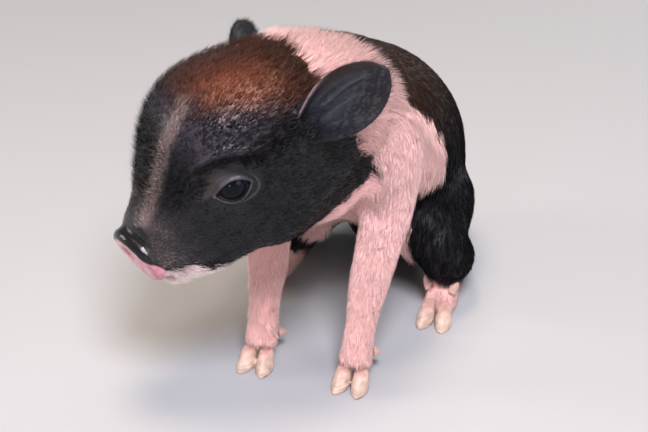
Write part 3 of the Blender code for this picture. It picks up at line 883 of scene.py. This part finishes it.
def skin_colours(points):
    """The bare skin's colour at world points, with painted light and shade in it: warm lamp light on the
    crown, a violet reflection on the forehead, a sheen on the upper body, and shade in the brow fold and high
    on the belt.
    """
    at = markings(points)
    mottle = waves(points, 6, 21)[:, None]
    pink = np.array((0.88, 0.48, 0.44)) * (1 + 0.06 * mottle)
    violet = np.array((0.58, 0.32, 0.40)) * (1 + 0.05 * mottle)
    throat = hump(points[:, 1] / MM, -30, 20) * (points[:, 2] > 0.055)
    pink = blend(pink, violet, 0.45 * throat)
    # Painted shade: pink skin darker high on the neck and belt, toning down its top under the light from
    # above
    pink = blend(pink, (0.58, 0.33, 0.31), 0.7 * ramp(98, 116, points[:, 2] / MM))
    dark = ear_colours(points, layered(
        np.array((0.006, 0.0058, 0.008)) * (1 + 0.25 * mottle),
        # Painted violet reflection of the cool light on the forehead
        ((0.054, 0.045, 0.060), 0.7 * at.forehead),
        # Crown: its own brown with painted warm lamp light
        ((0.070, 0.025, 0.014), 0.85 * at.crown),
        # Painted hot spot of the warm lamp
        ((0.225, 0.066, 0.031), 0.70 * at.crown * at.glow),
        # Painted fall-off of the lamp light, darker at the back and right of the crown
        ((0.035, 0.015, 0.010), 0.7 * at.crown * at.poll),
        # Painted warm sheen on the upper body
        ((0.040, 0.022, 0.015), 0.6 * at.back * (1 - at.head)),
        ((0.10, 0.078, 0.076), 0.5 * at.muzzle),
        ((0.15, 0.110, 0.105), 0.75 * at.stripe),
        # Painted shade in the fold of the brow
        ((0.006, 0.005, 0.005), 0.8 * at.brow),
    ))
    return nose_colours(points, eye_rims(points, blend(pink, dark, at.black)))


def ear_colours(points, dark):
    """Blue-black leaves with a pale upper rim near the root, and paler ridges inside, their paleness a
    painted highlight on the folds.
    """
    dark = blend(dark, (0.006, 0.007, 0.011), on_ear(points))
    speckle = ramp(0.1, 1.2, waves(points, 1.6, 51) + 0.5 * waves(points, 5, 52))
    for ear in EARS:
        s, w, off = ear_place(points, ear)
        close = lengths(points - from_head(ear[0])) / MM < EAR_LENGTH * 1.2
        near = close * (np.abs(off) < 3) * (s > 0.02) * (s < 1.05)
        rim = ramp(0.84, 0.97, -w) * (w > -1.3) * ramp(0.02, 0.12, s) * fall(0.30, 0.62, s)
        dark = blend(dark, (0.24, 0.17, 0.19), (0.8 if ear is EAR_LEFT else 0.1) * rim * near)
        brown = ramp(0.55, 0.85, -w) * (w > -1.3) * ramp(0.35, 0.6, s)
        dark = blend(dark, (0.030, 0.019, 0.016), 0.8 * brown * near)
        inside = near * (off < 0) * ramp(0.1, 0.3, s)
        # Painted highlight: paler where the folds stand out
        dark = blend(dark, (0.052, 0.058, 0.074), 0.7 * np.clip(ear_rise(s, w) / 0.8, 0, 1) * inside)
        dark = blend(dark, (0.055, 0.058, 0.070), 0.45 * speckle * inside * ramp(-0.75, -0.3, w))
    return dark


def eye_rims(points, colour):
    for side in SIDES:
        d, a, c, out = round_eye(points, side)
        front = (d > 0) * (np.hypot(a, c) < 14)
        ring, outer = outer_ring(a, c)
        upper = ramp(0, 1.5, c)
        brown = front * hump(out, 2.6, 2.6) * ramp(-5, 1, a) * upper
        colour = blend(colour, (0.048, 0.034, 0.033), 0.8 * brown)
        thick = upper * hump(out, 0.7, 0.6) * (1 - 0.8 * ramp(1.5, 4.5, a)) * (1 - 0.6 * ramp(3, 5, -a))
        thin = hump(out, 0.4, 0.36) * (1 - 0.75 * upper) * (0.55 + 0.45 * ramp(-3, 4, a))
        # Pale lid margins in their own colour, and a pale outer ring below and at the outer corner, partly
        # its own colour and partly a painted highlight
        rim = front * (thin + 0.8 * thick + 0.42 * hump(ring, 0, 0.36) * outer)
        colour = blend(colour, (0.12, 0.11, 0.125), np.clip(rim, 0, 1) * 0.7)
        colour = blend(colour, (0.012, 0.009, 0.009), front * (out < -0.4) * 0.9)
    return colour


def nose_depth(c):
    """How far back from the disc its bare skin reaches: furthest on top."""
    return 0.2 + 0.6 * ramp(-6, 2, c) + 4.0 * ramp(4, 11, c)


def nose_colours(points, colour):
    d, _, c, share = at_disc(points)
    near = (d > -9) & (share < 1.3)
    wander = 0.5 * waves(points, 5, 31)
    low = fall(-6, 1, c)
    reach = nose_depth(c)
    rim = ramp(-reach - 0.6, -reach + 0.6, d + wander) * near
    colour = blend(colour, (0.010, 0.009, 0.010), rim * (1 - 0.85 * low))
    below = fall(-7, 5, c)
    face = ramp(1.2, 1.7, d + 0.3 * wander + 3.1 * below) * near
    face *= fall(0.86, 0.92, share + 0.03 * wander - 0.4 * below + 0.14 * ramp(1, 7, c))
    face = np.clip(face, 0, 1)
    colour = blend(colour, (0.66, 0.31, 0.36), face)
    blotch = ramp(0.3, 1.4, waves(points, 3.2, 33) + 0.6 * waves(points, 1.3, 34))
    colour = blend(colour, (0.50, 0.19, 0.23), 0.55 * face * blotch)
    colour = blend(colour, (0.40, 0.15, 0.18), 0.6 * face * hump(share, 0.93, 0.07))
    freckle = ramp(1.3, 1.7, waves(points, 1.5, 35)) * ramp(0, 7, c)
    return blend(colour, (0.05, 0.03, 0.035), 0.7 * face * freckle)


def finish_of(points):
    """Roughness, and how strongly the pores show, at world points."""
    at = markings(points)
    d, _, c, _ = at_disc(points)
    reach = nose_depth(c)
    away = lengths(points - from_head(DISC_CENTRE)) / MM
    wet = ramp(-reach - 0.5, -reach + 1, d) * (away < 17)
    rough = 0.60 - 0.16 * at.black * at.head - 0.10 * np.maximum(at.crown, at.forehead) - 0.24 * wet
    pores = 0.35 + 0.45 * at.head * at.black - 0.20 * at.face + 0.3 * at.crown
    leaf = on_ear(points)
    return rough, np.clip(pores * (1 - 0.6 * wet) * (1 - 0.8 * leaf), 0, 1.2)


def paint_on(mesh, colours):
    layer = mesh.attributes.new("paint", "FLOAT_COLOR", "POINT")
    filled = np.ones((len(colours), 4), np.float32)
    filled[:, :3] = np.clip(colours, 0, 1)
    layer.data.foreach_set("color", filled.ravel())


def value_attribute(mesh, name, values):
    layer = mesh.attributes.new(name, "FLOAT", "POINT")
    layer.data.foreach_set("value", np.asarray(values, np.float32))


# Materials


class Nodes:
    """Short calls for the nodes of a material or a world; a name has _ for a space."""

    def __init__(self, owner, main="Principled BSDF"):
        owner.use_nodes = True
        self.owner = owner
        self.tree = owner.node_tree
        self.main = self.tree.nodes[main]

    def fill(self, node, **inputs):
        for name, value in inputs.items():
            socket = node.inputs[name.replace("_", " ")]
            if isinstance(value, bpy.types.NodeSocket):
                self.tree.links.new(value, socket)
            else:
                socket.default_value = value

    def finish(self, **inputs):
        self.fill(self.main, **inputs)
        return self.owner

    def add(self, kind, output, settings=(), **inputs):
        """Adds a node and returns its output."""
        node = self.tree.nodes.new("ShaderNode" + kind)
        for name, value in settings:
            setattr(node, name, value)
        self.fill(node, **inputs)
        return node.outputs[output]

    def place(self):
        return self.add("TexCoord", "Object")

    def attribute(self, name, output):
        return self.add("Attribute", output, [("attribute_name", name)])

    def noise(self, place, scale, detail):
        return self.add("TexNoise", "Fac", Vector=place, Scale=scale, Detail=detail)

    def spread_noise(self, place, scale, detail, low, high):
        return self.add("MapRange", "Result", Value=self.noise(place, scale, detail), To_Min=low, To_Max=high)

    def tinted(self, colour, share):
        """The colour multiplied by a number."""
        return self.add("VectorMath", "Vector", [("operation", "SCALE")], Vector=colour, Scale=share)

    def paint(self, *spread):
        """The painted colour, mottled by a noise."""
        return self.tinted(self.attribute("paint", "Color"), self.spread_noise(*spread))

    def bump(self, height, distance, strength, **before):
        return self.add("Bump", "Normal", Height=height, Distance=distance, Strength=strength, **before)


def material(name):
    return Nodes(bpy.data.materials.new(name))


def skin_material():
    m = material("piglet_skin")
    place = m.place()
    smooth = [("feature", "SMOOTH_F1")]
    cells = m.add("TexVoronoi", "Distance", smooth, Vector=place, Scale=1050.0, Smoothness=0.35)
    pores = m.bump(cells, -0.00017, m.attribute("pores", "Fac"))
    wrinkles = m.bump(m.noise(place, 420, 3), 0.00018, 0.5, Normal=pores)
    grain = m.bump(m.noise(place, 2600, 2), 0.00006, 0.4, Normal=wrinkles)
    rough = m.tree.nodes.new("ShaderNodeMath")
    m.tree.links.new(m.attribute("rough", "Fac"), rough.inputs[0])
    m.tree.links.new(m.spread_noise(place, 260, 2, -0.06, 0.08), rough.inputs[1])
    return m.finish(
        Base_Color=m.paint(place, 900, 3, 0.82, 1.18),
        Roughness=rough.outputs[0], Normal=grain,
        Subsurface_Weight=0.12, Subsurface_Radius=(1.0, 0.35, 0.2), Subsurface_Scale=0.0015,
        Specular_IOR_Level=0.30,
    )


def coat_material():
    m = material("piglet_coat")
    return m.finish(Base_Color=m.attribute("paint", "Color"), Roughness=0.55, Specular_IOR_Level=0.055)


def eye_material():
    m = material("piglet_eye")
    return m.finish(
        Base_Color=m.paint(m.place(), 1500, 2, 0.7, 1.3),
        Roughness=0.4, Specular_IOR_Level=0.02, Coat_Weight=0.20, Coat_Roughness=0.03,
    )


def wet_material():
    m = material("tear_line")
    colour = m.tinted((0.09, 0.07, 0.08), m.spread_noise(m.place(), 800, 2, 0.8, 1.2))
    return m.finish(Base_Color=colour, Roughness=0.08, Coat_Weight=1.0, Coat_Roughness=0.03)


def horn_material():
    m = material("claw_horn")
    place = m.place()
    upright = [("bands_direction", "Z")]
    bands = m.add("TexWave", "Fac", upright, Vector=place, Scale=260.0, Distortion=2.0, Detail=2.0)
    return m.finish(
        Base_Color=m.paint(place, 700, 3, 0.8, 1.2),
        Roughness=m.spread_noise(place, 300, 2, 0.30, 0.50),
        Normal=m.bump(bands, 0.00012, 0.6),
        Subsurface_Weight=0.08, Subsurface_Radius=(1.0, 0.6, 0.4), Subsurface_Scale=0.001,
    )


def dress(mesh, stuff):
    """Gives the whole mesh one material."""
    mesh.materials.clear()
    mesh.materials.append(stuff)
    mesh.polygons.foreach_set("material_index", np.zeros(len(mesh.polygons), np.int32))


skin_points = places(skin.data)
paint_on(skin.data, skin_colours(skin_points))
roughness, pore_depth = finish_of(skin_points)
value_attribute(skin.data, "rough", roughness)
value_attribute(skin.data, "pores", pore_depth)
dress(skin.data, skin_material())
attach(skin, "root")
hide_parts(*FLESH, "snout_disc", "ear_left", "ear_right")


# Eyes


def smooth_piece(name, points, triangles, stuff):
    """A new piece of one material, with its faces turned out."""
    mesh = triangle_mesh(name, points, triangles)
    facing_out(mesh)
    mesh.shade_smooth()
    dress(mesh, stuff)
    return new_object(name, mesh)


def add_eye(name, side):
    centre, aim, along, across = eye_frame(side)
    rows, count = 40, 64
    points, colours = [], []
    for i in range(rows + 1):
        angle = math.pi * i / rows
        cornea = 0.30 * math.exp(-((angle / 0.6) ** 2))
        for j in range(count):
            turn = 2 * math.pi * j / count
            reach = (EYE_RADIUS - 0.12 + cornea) * MM
            ray = aim * math.cos(angle) + (along * math.cos(turn) + across * math.sin(turn)) * math.sin(angle)
            points.append(centre + ray * reach)
            streak = 0.5 + 0.5 * math.sin(turn * 23 + 2 * math.sin(turn * 5))
            if angle < PUPIL_ANGLE:
                colours.append((0.003, 0.003, 0.005))
            elif angle < IRIS_ANGLE:
                colours.append((0.002 + 0.004 * streak, 0.003 + 0.005 * streak, 0.006 + 0.008 * streak))
            else:
                pale = min(1, (angle - IRIS_ANGLE) / 0.2)
                colours.append((0.02 + 0.16 * pale, 0.02 + 0.12 * pale, 0.026 + 0.12 * pale))
    triangles = []
    for a, b, c, d in ring_quads(rows + 1, count):
        if a >= count:
            triangles.append((a, b, c))
        if c < rows * count:
            triangles.append((a, c, d))
    globe = smooth_piece(name, points, triangles, eye_stuff)
    paint_on(globe.data, np.array(colours))
    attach(globe, "root")
    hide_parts("eye_left" if side == 1 else "eye_right")


def add_tear_line(name, side):
    """The wet edge between the lids and the eyeball."""
    centre, aim, along, across = eye_frame(side)
    count, around = 120, 8
    ring = []
    for i in range(count):
        turn = 2 * math.pi * i / count
        a = 0.94 * EYE_LENGTH * math.cos(turn)
        upper, lower = lid_curves(np.array([a]))
        c = (upper[0] if math.sin(turn) > 0 else -lower[0]) * 0.97
        d = math.sqrt(max(0.5, (EYE_RADIUS + 0.1) ** 2 - a * a - c * c))
        ring.append(centre + (along * a + across * c + aim * d) * MM)
    ring = np.array(ring)
    run = unit(np.roll(ring, -1, axis=0) - np.roll(ring, 1, axis=0))
    out = unit(ring - centre)
    aside = np.cross(run, out)
    points = []
    for j in range(around):
        angle = 2 * math.pi * j / around
        points.append(ring + (out * math.cos(angle) + aside * math.sin(angle)) * TEAR_LINE_RADIUS * MM)
    points = np.concatenate(points)
    quads = np.array(ring_quads(around + 1, count)) % len(points)
    line = smooth_piece(name, points, quads[:, [0, 1, 2, 0, 2, 3]].reshape(-1, 3), wet_stuff)
    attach(line, "root")


eye_stuff = eye_material()
wet_stuff = wet_material()
for side, name in ((1, "left"), (-1, "right")):
    add_eye("globe_" + name, side)
    add_tear_line("tear_line_" + name, side)


# Claws


def add_claws(foot):
    """The four claws of a foot, rounded from their solids, with growth rings, flat where they meet the floor
    and darker towards it.
    """
    names = [kind + foot + place for kind in ("claw_", "dewclaw_") for place in ("_inner", "_outer")]
    claws = joined("claws_" + foot, [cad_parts[name].data for name in names])
    claws = remeshed(claws, "claws_" + foot, CLAW_CELL)
    softened(claws.data, np.full(len(claws.data.vertices), 0.5), 6)
    points = places(claws.data)
    facing = normals(claws.data)
    rings = 0.10 * np.sin(points[:, 2] / MM * 4.2 + 1.2 * waves(points, 6, 41)) * (1 - np.abs(facing[:, 2]))
    points = points + facing * (rings * MM)[:, None]
    points[:, 2] = np.maximum(points[:, 2], 0)
    set_places(claws.data, points)
    height = points[:, 2] / MM
    pale = np.array((0.62, 0.45, 0.36)) * (1 + 0.10 * waves(points, 4, 42)[:, None])
    # Darker towards the floor, and pinker towards the top
    colour = blend(pale, (0.30, 0.20, 0.16), 0.5 * fall(0, 2.0, height))
    colour = blend(colour, (0.60, 0.34, 0.30), 0.6 * ramp(4.5, 7.0, height))
    paint_on(claws.data, colour)
    dress(claws.data, horn_stuff)
    claws.data.shade_smooth()
    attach(claws, "root")
    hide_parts(*names)


horn_stuff = horn_material()
for foot in ("foreleg_left", "foreleg_right", "hindleg_left", "hindleg_right"):
    add_claws(foot)


# Coat


GUIDE_REACH = 0.012
GUIDES = [
    [(5, -45, 102), (5, -28, 100), (5, -5, 88), (5, 20, 74), (5, 45, 56), (5, 60, 38), (5, 66, 10)],
    [(25, -12, 82), (26, -22, 66), (24, -35, 48), (24, -44, 28), (24, -47, 8)],
    [(-15, -12, 82), (-16, -22, 66), (-14, -35, 48), (-14, -44, 28), (-14, -47, 8)],
    [(32, 40, 62), (38, 38, 42), (39, 24, 30), (38, 8, 24), (38, 6, 6)],
    [(-20, 40, 62), (-27, 38, 42), (-28, 24, 30), (-27, 8, 24), (-27, 6, 6)],
    [(38, 24, 22), (38, 42, 14), (38, 44, 7)],
    [(-27, 24, 22), (-27, 42, 14), (-27, 44, 7)],
    [(5, 62, 34), (14, 76, 28), (26, 82, 22), (31, 72, 16)],
    [(5, -38, 88), (5, -28, 72), (5, -10, 56), (5, 12, 42), (5, 36, 26)],
]


def lie_of_coat(points, facing):
    """The way hair lies at world points: back over head and trunk, down the legs, out along the ears."""
    spots, runs = [], []
    for line in GUIDES:
        course = through(line, 5)
        spots.append((course[1:] + course[:-1]) / 2)
        runs.append(unit(course[1:] - course[:-1]))
    spots, runs = np.concatenate(spots) * MM, np.concatenate(runs)
    flow = np.zeros_like(points)
    for spot, run in zip(spots, runs):
        away = np.sum((points - spot) ** 2, axis=1)
        flow += np.exp(-away / (2 * GUIDE_REACH**2))[:, None] * run
    flow = unit(flow) + (0, 0, -0.25)
    f, l, u = to_head(points).T
    back = np.stack([-np.ones_like(f), 0.10 * np.sign(l), 0.12 - 0.25 * (u < -5)], 1) @ AXES
    flow = blend(unit(flow), unit(back), ramp(-46, -34, f) * ramp(-44, -34, u))
    leaf = on_ear(points)
    for ear in EARS:
        origin, along, _, _ = ear_frame(ear)
        flow = blend(flow, along, leaf * (lengths(points - origin) < EAR_LENGTH * 1.3 * MM))
    flow = flow - facing * np.sum(flow * facing, axis=1)[:, None]
    return unit(flow)


def coat_plan(points):
    """At world points: tufts on a square millimetre, and their length, width and lift."""
    at = markings(points)
    f, l, u = to_head(points).T
    y, z = points[:, 1] / MM, points[:, 2] / MM
    white = 1 - at.black
    ridge = ramp(0, 10, u) * at.head
    chin = at.under * ramp(4, 12, f) * (u > -34)
    fringe = hump(y - on_table(z, BELT_EDGE), -3, 6) * (1 - at.head) * (z > 20)
    cheek = at.head * fall(2, 12, u)
    count = 1.7 + 1.4 * white + 1.7 * at.head + 1.2 * at.foot + 1.5 * chin - 1.2 * at.crown + 0.8 * cheek
    length = 4.2 + 0.9 * white - 2.2 * at.head - 0.4 * at.face - 1.8 * at.foot + 1.5 * ridge
    length += 1.4 * chin + 1.8 * fringe * white
    width = 0.25 - 0.06 * white - 0.12 * at.head - 0.04 * at.foot
    width = width + 0.05 * chin + 0.06 * ridge + 0.03 * cheek
    lift = 10 + 5 * white + 14 * at.head + 26 * ridge + 6 * fringe
    count += 1.3 * fringe
    width -= 0.05 * fringe
    far = l < 0
    ear_plan = np.stack([3.2 + 1.5 * far, 2.3 + 0.8 * far, 0.11 + 0 * far, 18 + 8 * far], 1)
    count, length, width, lift = blend(np.stack([count, length, width, lift], 1), ear_plan, on_ear(points)).T
    for side in SIDES:
        d, a, c, out = round_eye(points, side)
        above = 1.6 * ramp(0, 2, c)
        bare = fall(2.6, 4.2, out - above) * (d > -3) * (np.hypot(a, c) < 14)
        count = count * (1 - bare)
    d, _, c, _ = at_disc(points)
    bare = ramp(-nose_depth(c) - 0.4, -nose_depth(c) + 0.4, d) * (f > 20)
    count = count * (1 - bare) * (z > 0.6)
    return count, length, width, lift


# The hair's colour at its roots, with painted lamp light on the crown, a violet reflection on the forehead, a
# sheen on the upper body, glints on the muzzle and shade high on the belt
def hair_colours(points, draw):
    at = markings(points + draw.normal(0, 0.0006, points.shape))
    count = len(points)
    shade = draw.uniform(0.75, 1.3, (count, 1))
    dark = layered(
        np.array((0.005, 0.0046, 0.006)) * shade,
        # Painted violet reflection of the cool light on the forehead
        ((0.048, 0.041, 0.052), 0.6 * at.forehead * draw.uniform(0.3, 1, count)),
        # Crown: its own brown with painted warm lamp light
        ((0.074, 0.028, 0.016), 0.85 * at.crown * draw.uniform(0.3, 1, count)),
        # Painted hot spot of the warm lamp
        ((0.220, 0.066, 0.031), 0.65 * at.crown * at.glow),
        # Painted fall-off of the lamp light, darker at the back and right of the crown
        ((0.035, 0.016, 0.011), 0.75 * at.crown * at.poll),
        # Painted warm sheen on the upper body
        ((0.060, 0.030, 0.018), 0.6 * at.back * (1 - at.head)),
        ((0.40, 0.31, 0.28), at.stripe * (draw.uniform(0, 1, count) < 0.75)),
        ((0.30, 0.24, 0.23), at.muzzle * (draw.uniform(0, 1, count) < 0.45)),
    )
    # Painted bluish glints on scattered hairs of the muzzle side
    glint = (draw.uniform(0, 1, count) < 0.35) * (waves(points, 3.5, 61) > 0)
    dark = blend(dark, (0.13, 0.15, 0.17), at.muzzle_glint * glint * draw.uniform(0.2, 1, count))
    slate = np.array((0.022, 0.025, 0.034)) * draw.uniform(0.3, 2.2, (count, 1))
    dark = blend(dark, slate, on_ear(points) * (1 - 0.7 * at.crown))
    white = np.array((0.96, 0.655, 0.625)) * (0.87 + 0.13 * shade)
    white = blend(white, (0.86, 0.80, 0.79), 0.7 * at.face * at.head)
    # Painted shade: white hair darker high on the neck and belt, toning down its top under the light from
    # above
    white = blend(white, (0.62, 0.44, 0.43), 0.7 * ramp(98, 116, points[:, 2] / MM))
    return blend(white, dark, at.black)


def unwrap(skin):
    """A flat map of the skin, made on a coarse copy: its corners, its faces and their places on the map."""
    coarse = remeshed(new_object("coarse", skin.data.copy()), "coarse", MAP_CELL)
    triangulated(coarse.data)
    coarse.data.uv_layers.new(name="flat")
    bpy.context.view_layer.objects.active = coarse
    coarse.select_set(True)
    bpy.ops.object.mode_set(mode="EDIT")
    bpy.ops.mesh.select_all(action="SELECT")
    bpy.ops.uv.smart_project(angle_limit=1.15, island_margin=0.002)
    bpy.ops.object.mode_set(mode="OBJECT")
    mesh = coarse.data
    bpy.data.objects.remove(coarse)
    flat = values_of(mesh.uv_layers["flat"].uv, "vector", np.float32, 2)
    return places(mesh), triangles_of(mesh), flat.reshape(-1, 3, 2)


def on_map(roots, points, faces, flat):
    """Where each root falls on the map: the nearest face, and the place within it."""
    tree = BVHTree.FromPolygons(points.tolist(), faces.tolist())
    index = np.empty(len(roots), np.int32)
    spot = np.empty((len(roots), 3))
    for i, root in enumerate(roots.tolist()):
        place, _, index[i], _ = tree.find_nearest(root)
        spot[i] = place
    a, b, c = points[faces[index]].transpose(1, 0, 2)
    first, second, reach = b - a, c - a, spot - a
    aa, ab, bb = (first**2).sum(1), (first * second).sum(1), (second**2).sum(1)
    ra, rb = (reach * first).sum(1), (reach * second).sum(1)
    level = np.maximum(aa * bb - ab * ab, 1e-30)
    v = ((bb * ra - ab * rb) / level)[:, None]
    w = ((aa * rb - ab * ra) / level)[:, None]
    at = flat[index]
    return at[:, 0] * (1 - v - w) + at[:, 1] * v + at[:, 2] * w


PATCH = 0.003
MOST_TRIANGLES = 190000
TRIANGLES_BENT, TRIANGLES_STRAIGHT = 10, 4
STRAIGHT_BELOW = 3.2
ROOT_DEPTH = 0.25
LOWEST_HAIR = 0.0001


def tuft_mesh(name, roots, facing, lie, length, width, lift, colours, flat, draw, bent):
    """Closed three-sided tufts: rings at the root and, when bent, part way up, and a tip."""
    count = len(roots)
    turned = draw.normal(0, 0.16, (count, 1))
    aside = unit(np.cross(facing, lie))
    lie = unit(lie + aside * turned)
    aside = unit(np.cross(facing, lie))
    lift = np.radians(lift * draw.uniform(0.6, 1.5, count))[:, None]
    length = (length * draw.uniform(0.7, 1.25, count))[:, None] * MM
    width = (width * draw.uniform(0.75, 1.25, count))[:, None] * MM
    start = roots - facing * ROOT_DEPTH * MM
    rise = lie * np.cos(lift) + facing * np.sin(lift)
    later = lie * np.cos(lift * 0.35) + facing * np.sin(lift * 0.35)
    spots = [(start, 1.0)]
    if bent:
        knee = start + rise * (length * 0.5)
        spots.append((knee, 0.8))
        tip = knee + later * (length * 0.5)
    else:
        tip = start + rise * length
    rows = []
    for middle, share in spots:
        half = width * share / 2
        rows += [middle - aside * half, middle + facing * half * 0.9, middle + aside * half]
    rows.append(tip)
    per = len(rows)
    points = np.stack(rows, axis=1).reshape(-1, 3)
    points[:, 2] = np.maximum(points[:, 2], LOWEST_HAIR)
    tris = [(0, 2, 1)]
    for a, b in ((0, 1), (1, 2), (2, 0)):
        if bent:
            tris += [(a, b, b + 3), (a, b + 3, a + 3)]
            a, b = a + 3, b + 3
        tris.append((a, b, per - 1))
    triangles = (np.array(tris) + (np.arange(count) * per)[:, None, None]).reshape(-1, 3)
    mesh = triangle_mesh(name, points, triangles)
    paint_on(mesh, np.repeat(colours, per, axis=0))
    spot = np.zeros((per, 2))
    spot[:, 0] = np.array([-0.5, 0, 0.5] * (2 if bent else 1) + [0]) * PATCH
    spot[:, 1] = np.array([-0.5] * 3 + [0] * (3 if bent else 0) + [0.5]) * PATCH
    layer = mesh.uv_layers.new(name="OFBake")
    all_flat = (flat[:, None, :] + spot[None]).reshape(-1, 2)
    layer.uv.foreach_set("vector", all_flat[triangles.ravel()].astype(np.float32).ravel())
    piece = new_object(name, mesh)
    dress(mesh, coat_stuff)
    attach(piece, "root")


def grow_coat(skin):
    points, facing, faces = places(skin.data), normals(skin.data), triangles_of(skin.data)
    count, length, width, lift = coat_plan(points)
    lie = lie_of_coat(points, facing)
    a, b, c = points[faces].transpose(1, 0, 2)
    area = lengths(np.cross(b - a, c - a)) / 2 / MM**2
    mean = count[faces].mean(axis=1)
    draw = np.random.default_rng(77)
    number = draw.poisson(area * mean * (1))
    chosen = np.repeat(np.arange(len(faces)), number)
    first, second = draw.uniform(0, 1, (2, len(chosen), 1))
    over = first + second > 1
    first, second = np.where(over, 1 - first, first), np.where(over, 1 - second, second)
    shares = np.concatenate([1 - first - second, first, second], axis=1)
    corner = faces[chosen]

    def at_roots(values):
        if values.ndim == 1:
            return (values[corner] * shares).sum(1)
        return (values[corner] * shares[:, :, None]).sum(1)

    roots = at_roots(points)
    facing, lie = unit(at_roots(facing)), unit(at_roots(lie))
    length, width, lift = at_roots(length), at_roots(width), at_roots(lift)
    colours = hair_colours(roots, draw)
    flat = on_map(roots, *unwrap(skin))
    short = length < STRAIGHT_BELOW
    for bent, some in ((True, ~short), (False, short)):
        order = np.flatnonzero(some)
        order = order[np.argsort(roots[order, 1])]
        per_tuft = TRIANGLES_BENT if bent else TRIANGLES_STRAIGHT
        pieces = math.ceil(len(order) * per_tuft / MOST_TRIANGLES)
        for k, group in enumerate(np.array_split(order, pieces)):
            name = ("coat_long_" if bent else "coat_short_") + str(k)
            rows = [values[group] for values in (roots, facing, lie, length, width, lift, colours, flat)]
            tuft_mesh(name, *rows, draw, bent)
    print("tufts", len(roots), "short", int(short.sum()))


coat_stuff = coat_material()
grow_coat(skin)


# Camera, light and floor


LIGHTS = [
    ("key", (-0.05, -0.10, 0.82), 0.24, 4.3, (1.0, 0.78, 0.60)),
    ("fill", (0.27, -0.49, 0.79), 0.30, 10.8, (0.93, 0.90, 1.0)),
    ("flank", (0.62, -0.35, 0.28), 0.35, 1.1, (1.0, 0.93, 0.90)),
    ("low", (0.08, -0.75, 0.14), 0.06, 0.5, (0.9, 0.95, 1.0)),
    ("side", (-0.75, -0.20, 0.30), 0.3, 2.6, (1.0, 0.93, 0.86)),
    ("rim", (0.15, 0.6, 0.5), 0.3, 1.7, (1.0, 0.94, 0.89)),
]
LIT_PLACE = Vector((0, -0.02, 0.07))
PALE = (0.80, 0.82, 0.86)
SMOOTH = [("interpolation_type", "SMOOTHSTEP")]


def place_camera():
    back = Vector((
        math.sin(CAMERA_AZIMUTH) * math.cos(CAMERA_ELEVATION),
        -math.cos(CAMERA_AZIMUTH) * math.cos(CAMERA_ELEVATION),
        math.sin(CAMERA_ELEVATION),
    ))
    right = Vector((math.cos(CAMERA_AZIMUTH), math.sin(CAMERA_AZIMUTH), 0))
    camera = new_object("camera", bpy.data.cameras.new("camera"))
    turn = Matrix((right, back.cross(right), back)).transposed().to_4x4()
    aim = Vector(CENTRE) + AIM_FROM_HEAD
    camera.matrix_world = Matrix.Translation(aim + back * CAMERA_DISTANCE) @ turn
    camera.data.sensor_width = SENSOR_WIDTH
    camera.data.lens = SENSOR_WIDTH * CAMERA_DISTANCE / VIEW_WIDTH
    camera.data.clip_start = 0.01
    bpy.context.scene.camera = camera


def place_lights():
    for name, place, size, power, colour in LIGHTS:
        data = bpy.data.lights.new(name, "AREA")
        data.shape = "DISK"
        data.size = size
        data.energy = power
        data.color = colour
        light = new_object(name, data)
        light.location = place
        light.rotation_euler = (LIT_PLACE - Vector(place)).to_track_quat("-Z", "Y").to_euler()


def light_sky():
    """Lights the world, bright at the horizon and dimmer above."""
    world = bpy.data.worlds.new("studio")
    bpy.context.scene.world = world
    sky = Nodes(world, "Background")
    height = sky.add("SeparateXYZ", "Z", Vector=sky.add("TexCoord", "Generated"))
    dim = sky.add("MapRange", "Result", SMOOTH, Value=height, From_Max=0.16, To_Min=0.80, To_Max=0.17)
    sky.finish(Color=(*PALE, 1), Strength=dim)


def lay_floor():
    """A pale floor, lighter far away."""
    corners = [(-3, -3, 0), (3, -3, 0), (3, 3, 0), (-3, 3, 0)]
    floor = new_object("floor", triangle_mesh("floor", corners, [(0, 1, 2), (0, 2, 3)]))
    m = material("floor")
    place = m.place()
    away = m.add("VectorMath", "Value", [("operation", "LENGTH")], Vector=place)
    glow = m.add("MapRange", "Result", SMOOTH, Value=away, From_Min=0.25, From_Max=1.1, To_Max=0.52)
    dress(floor.data, m.finish(
        Base_Color=m.tinted((0.40, 0.415, 0.43), m.spread_noise(place, 3, 2, 0.97, 1.03)), Roughness=0.9,
        Emission_Color=(*PALE, 1), Emission_Strength=glow,
    ))


place_camera()
place_lights()
light_sky()
lay_floor()
bpy.context.scene.view_settings.view_transform = "Standard"
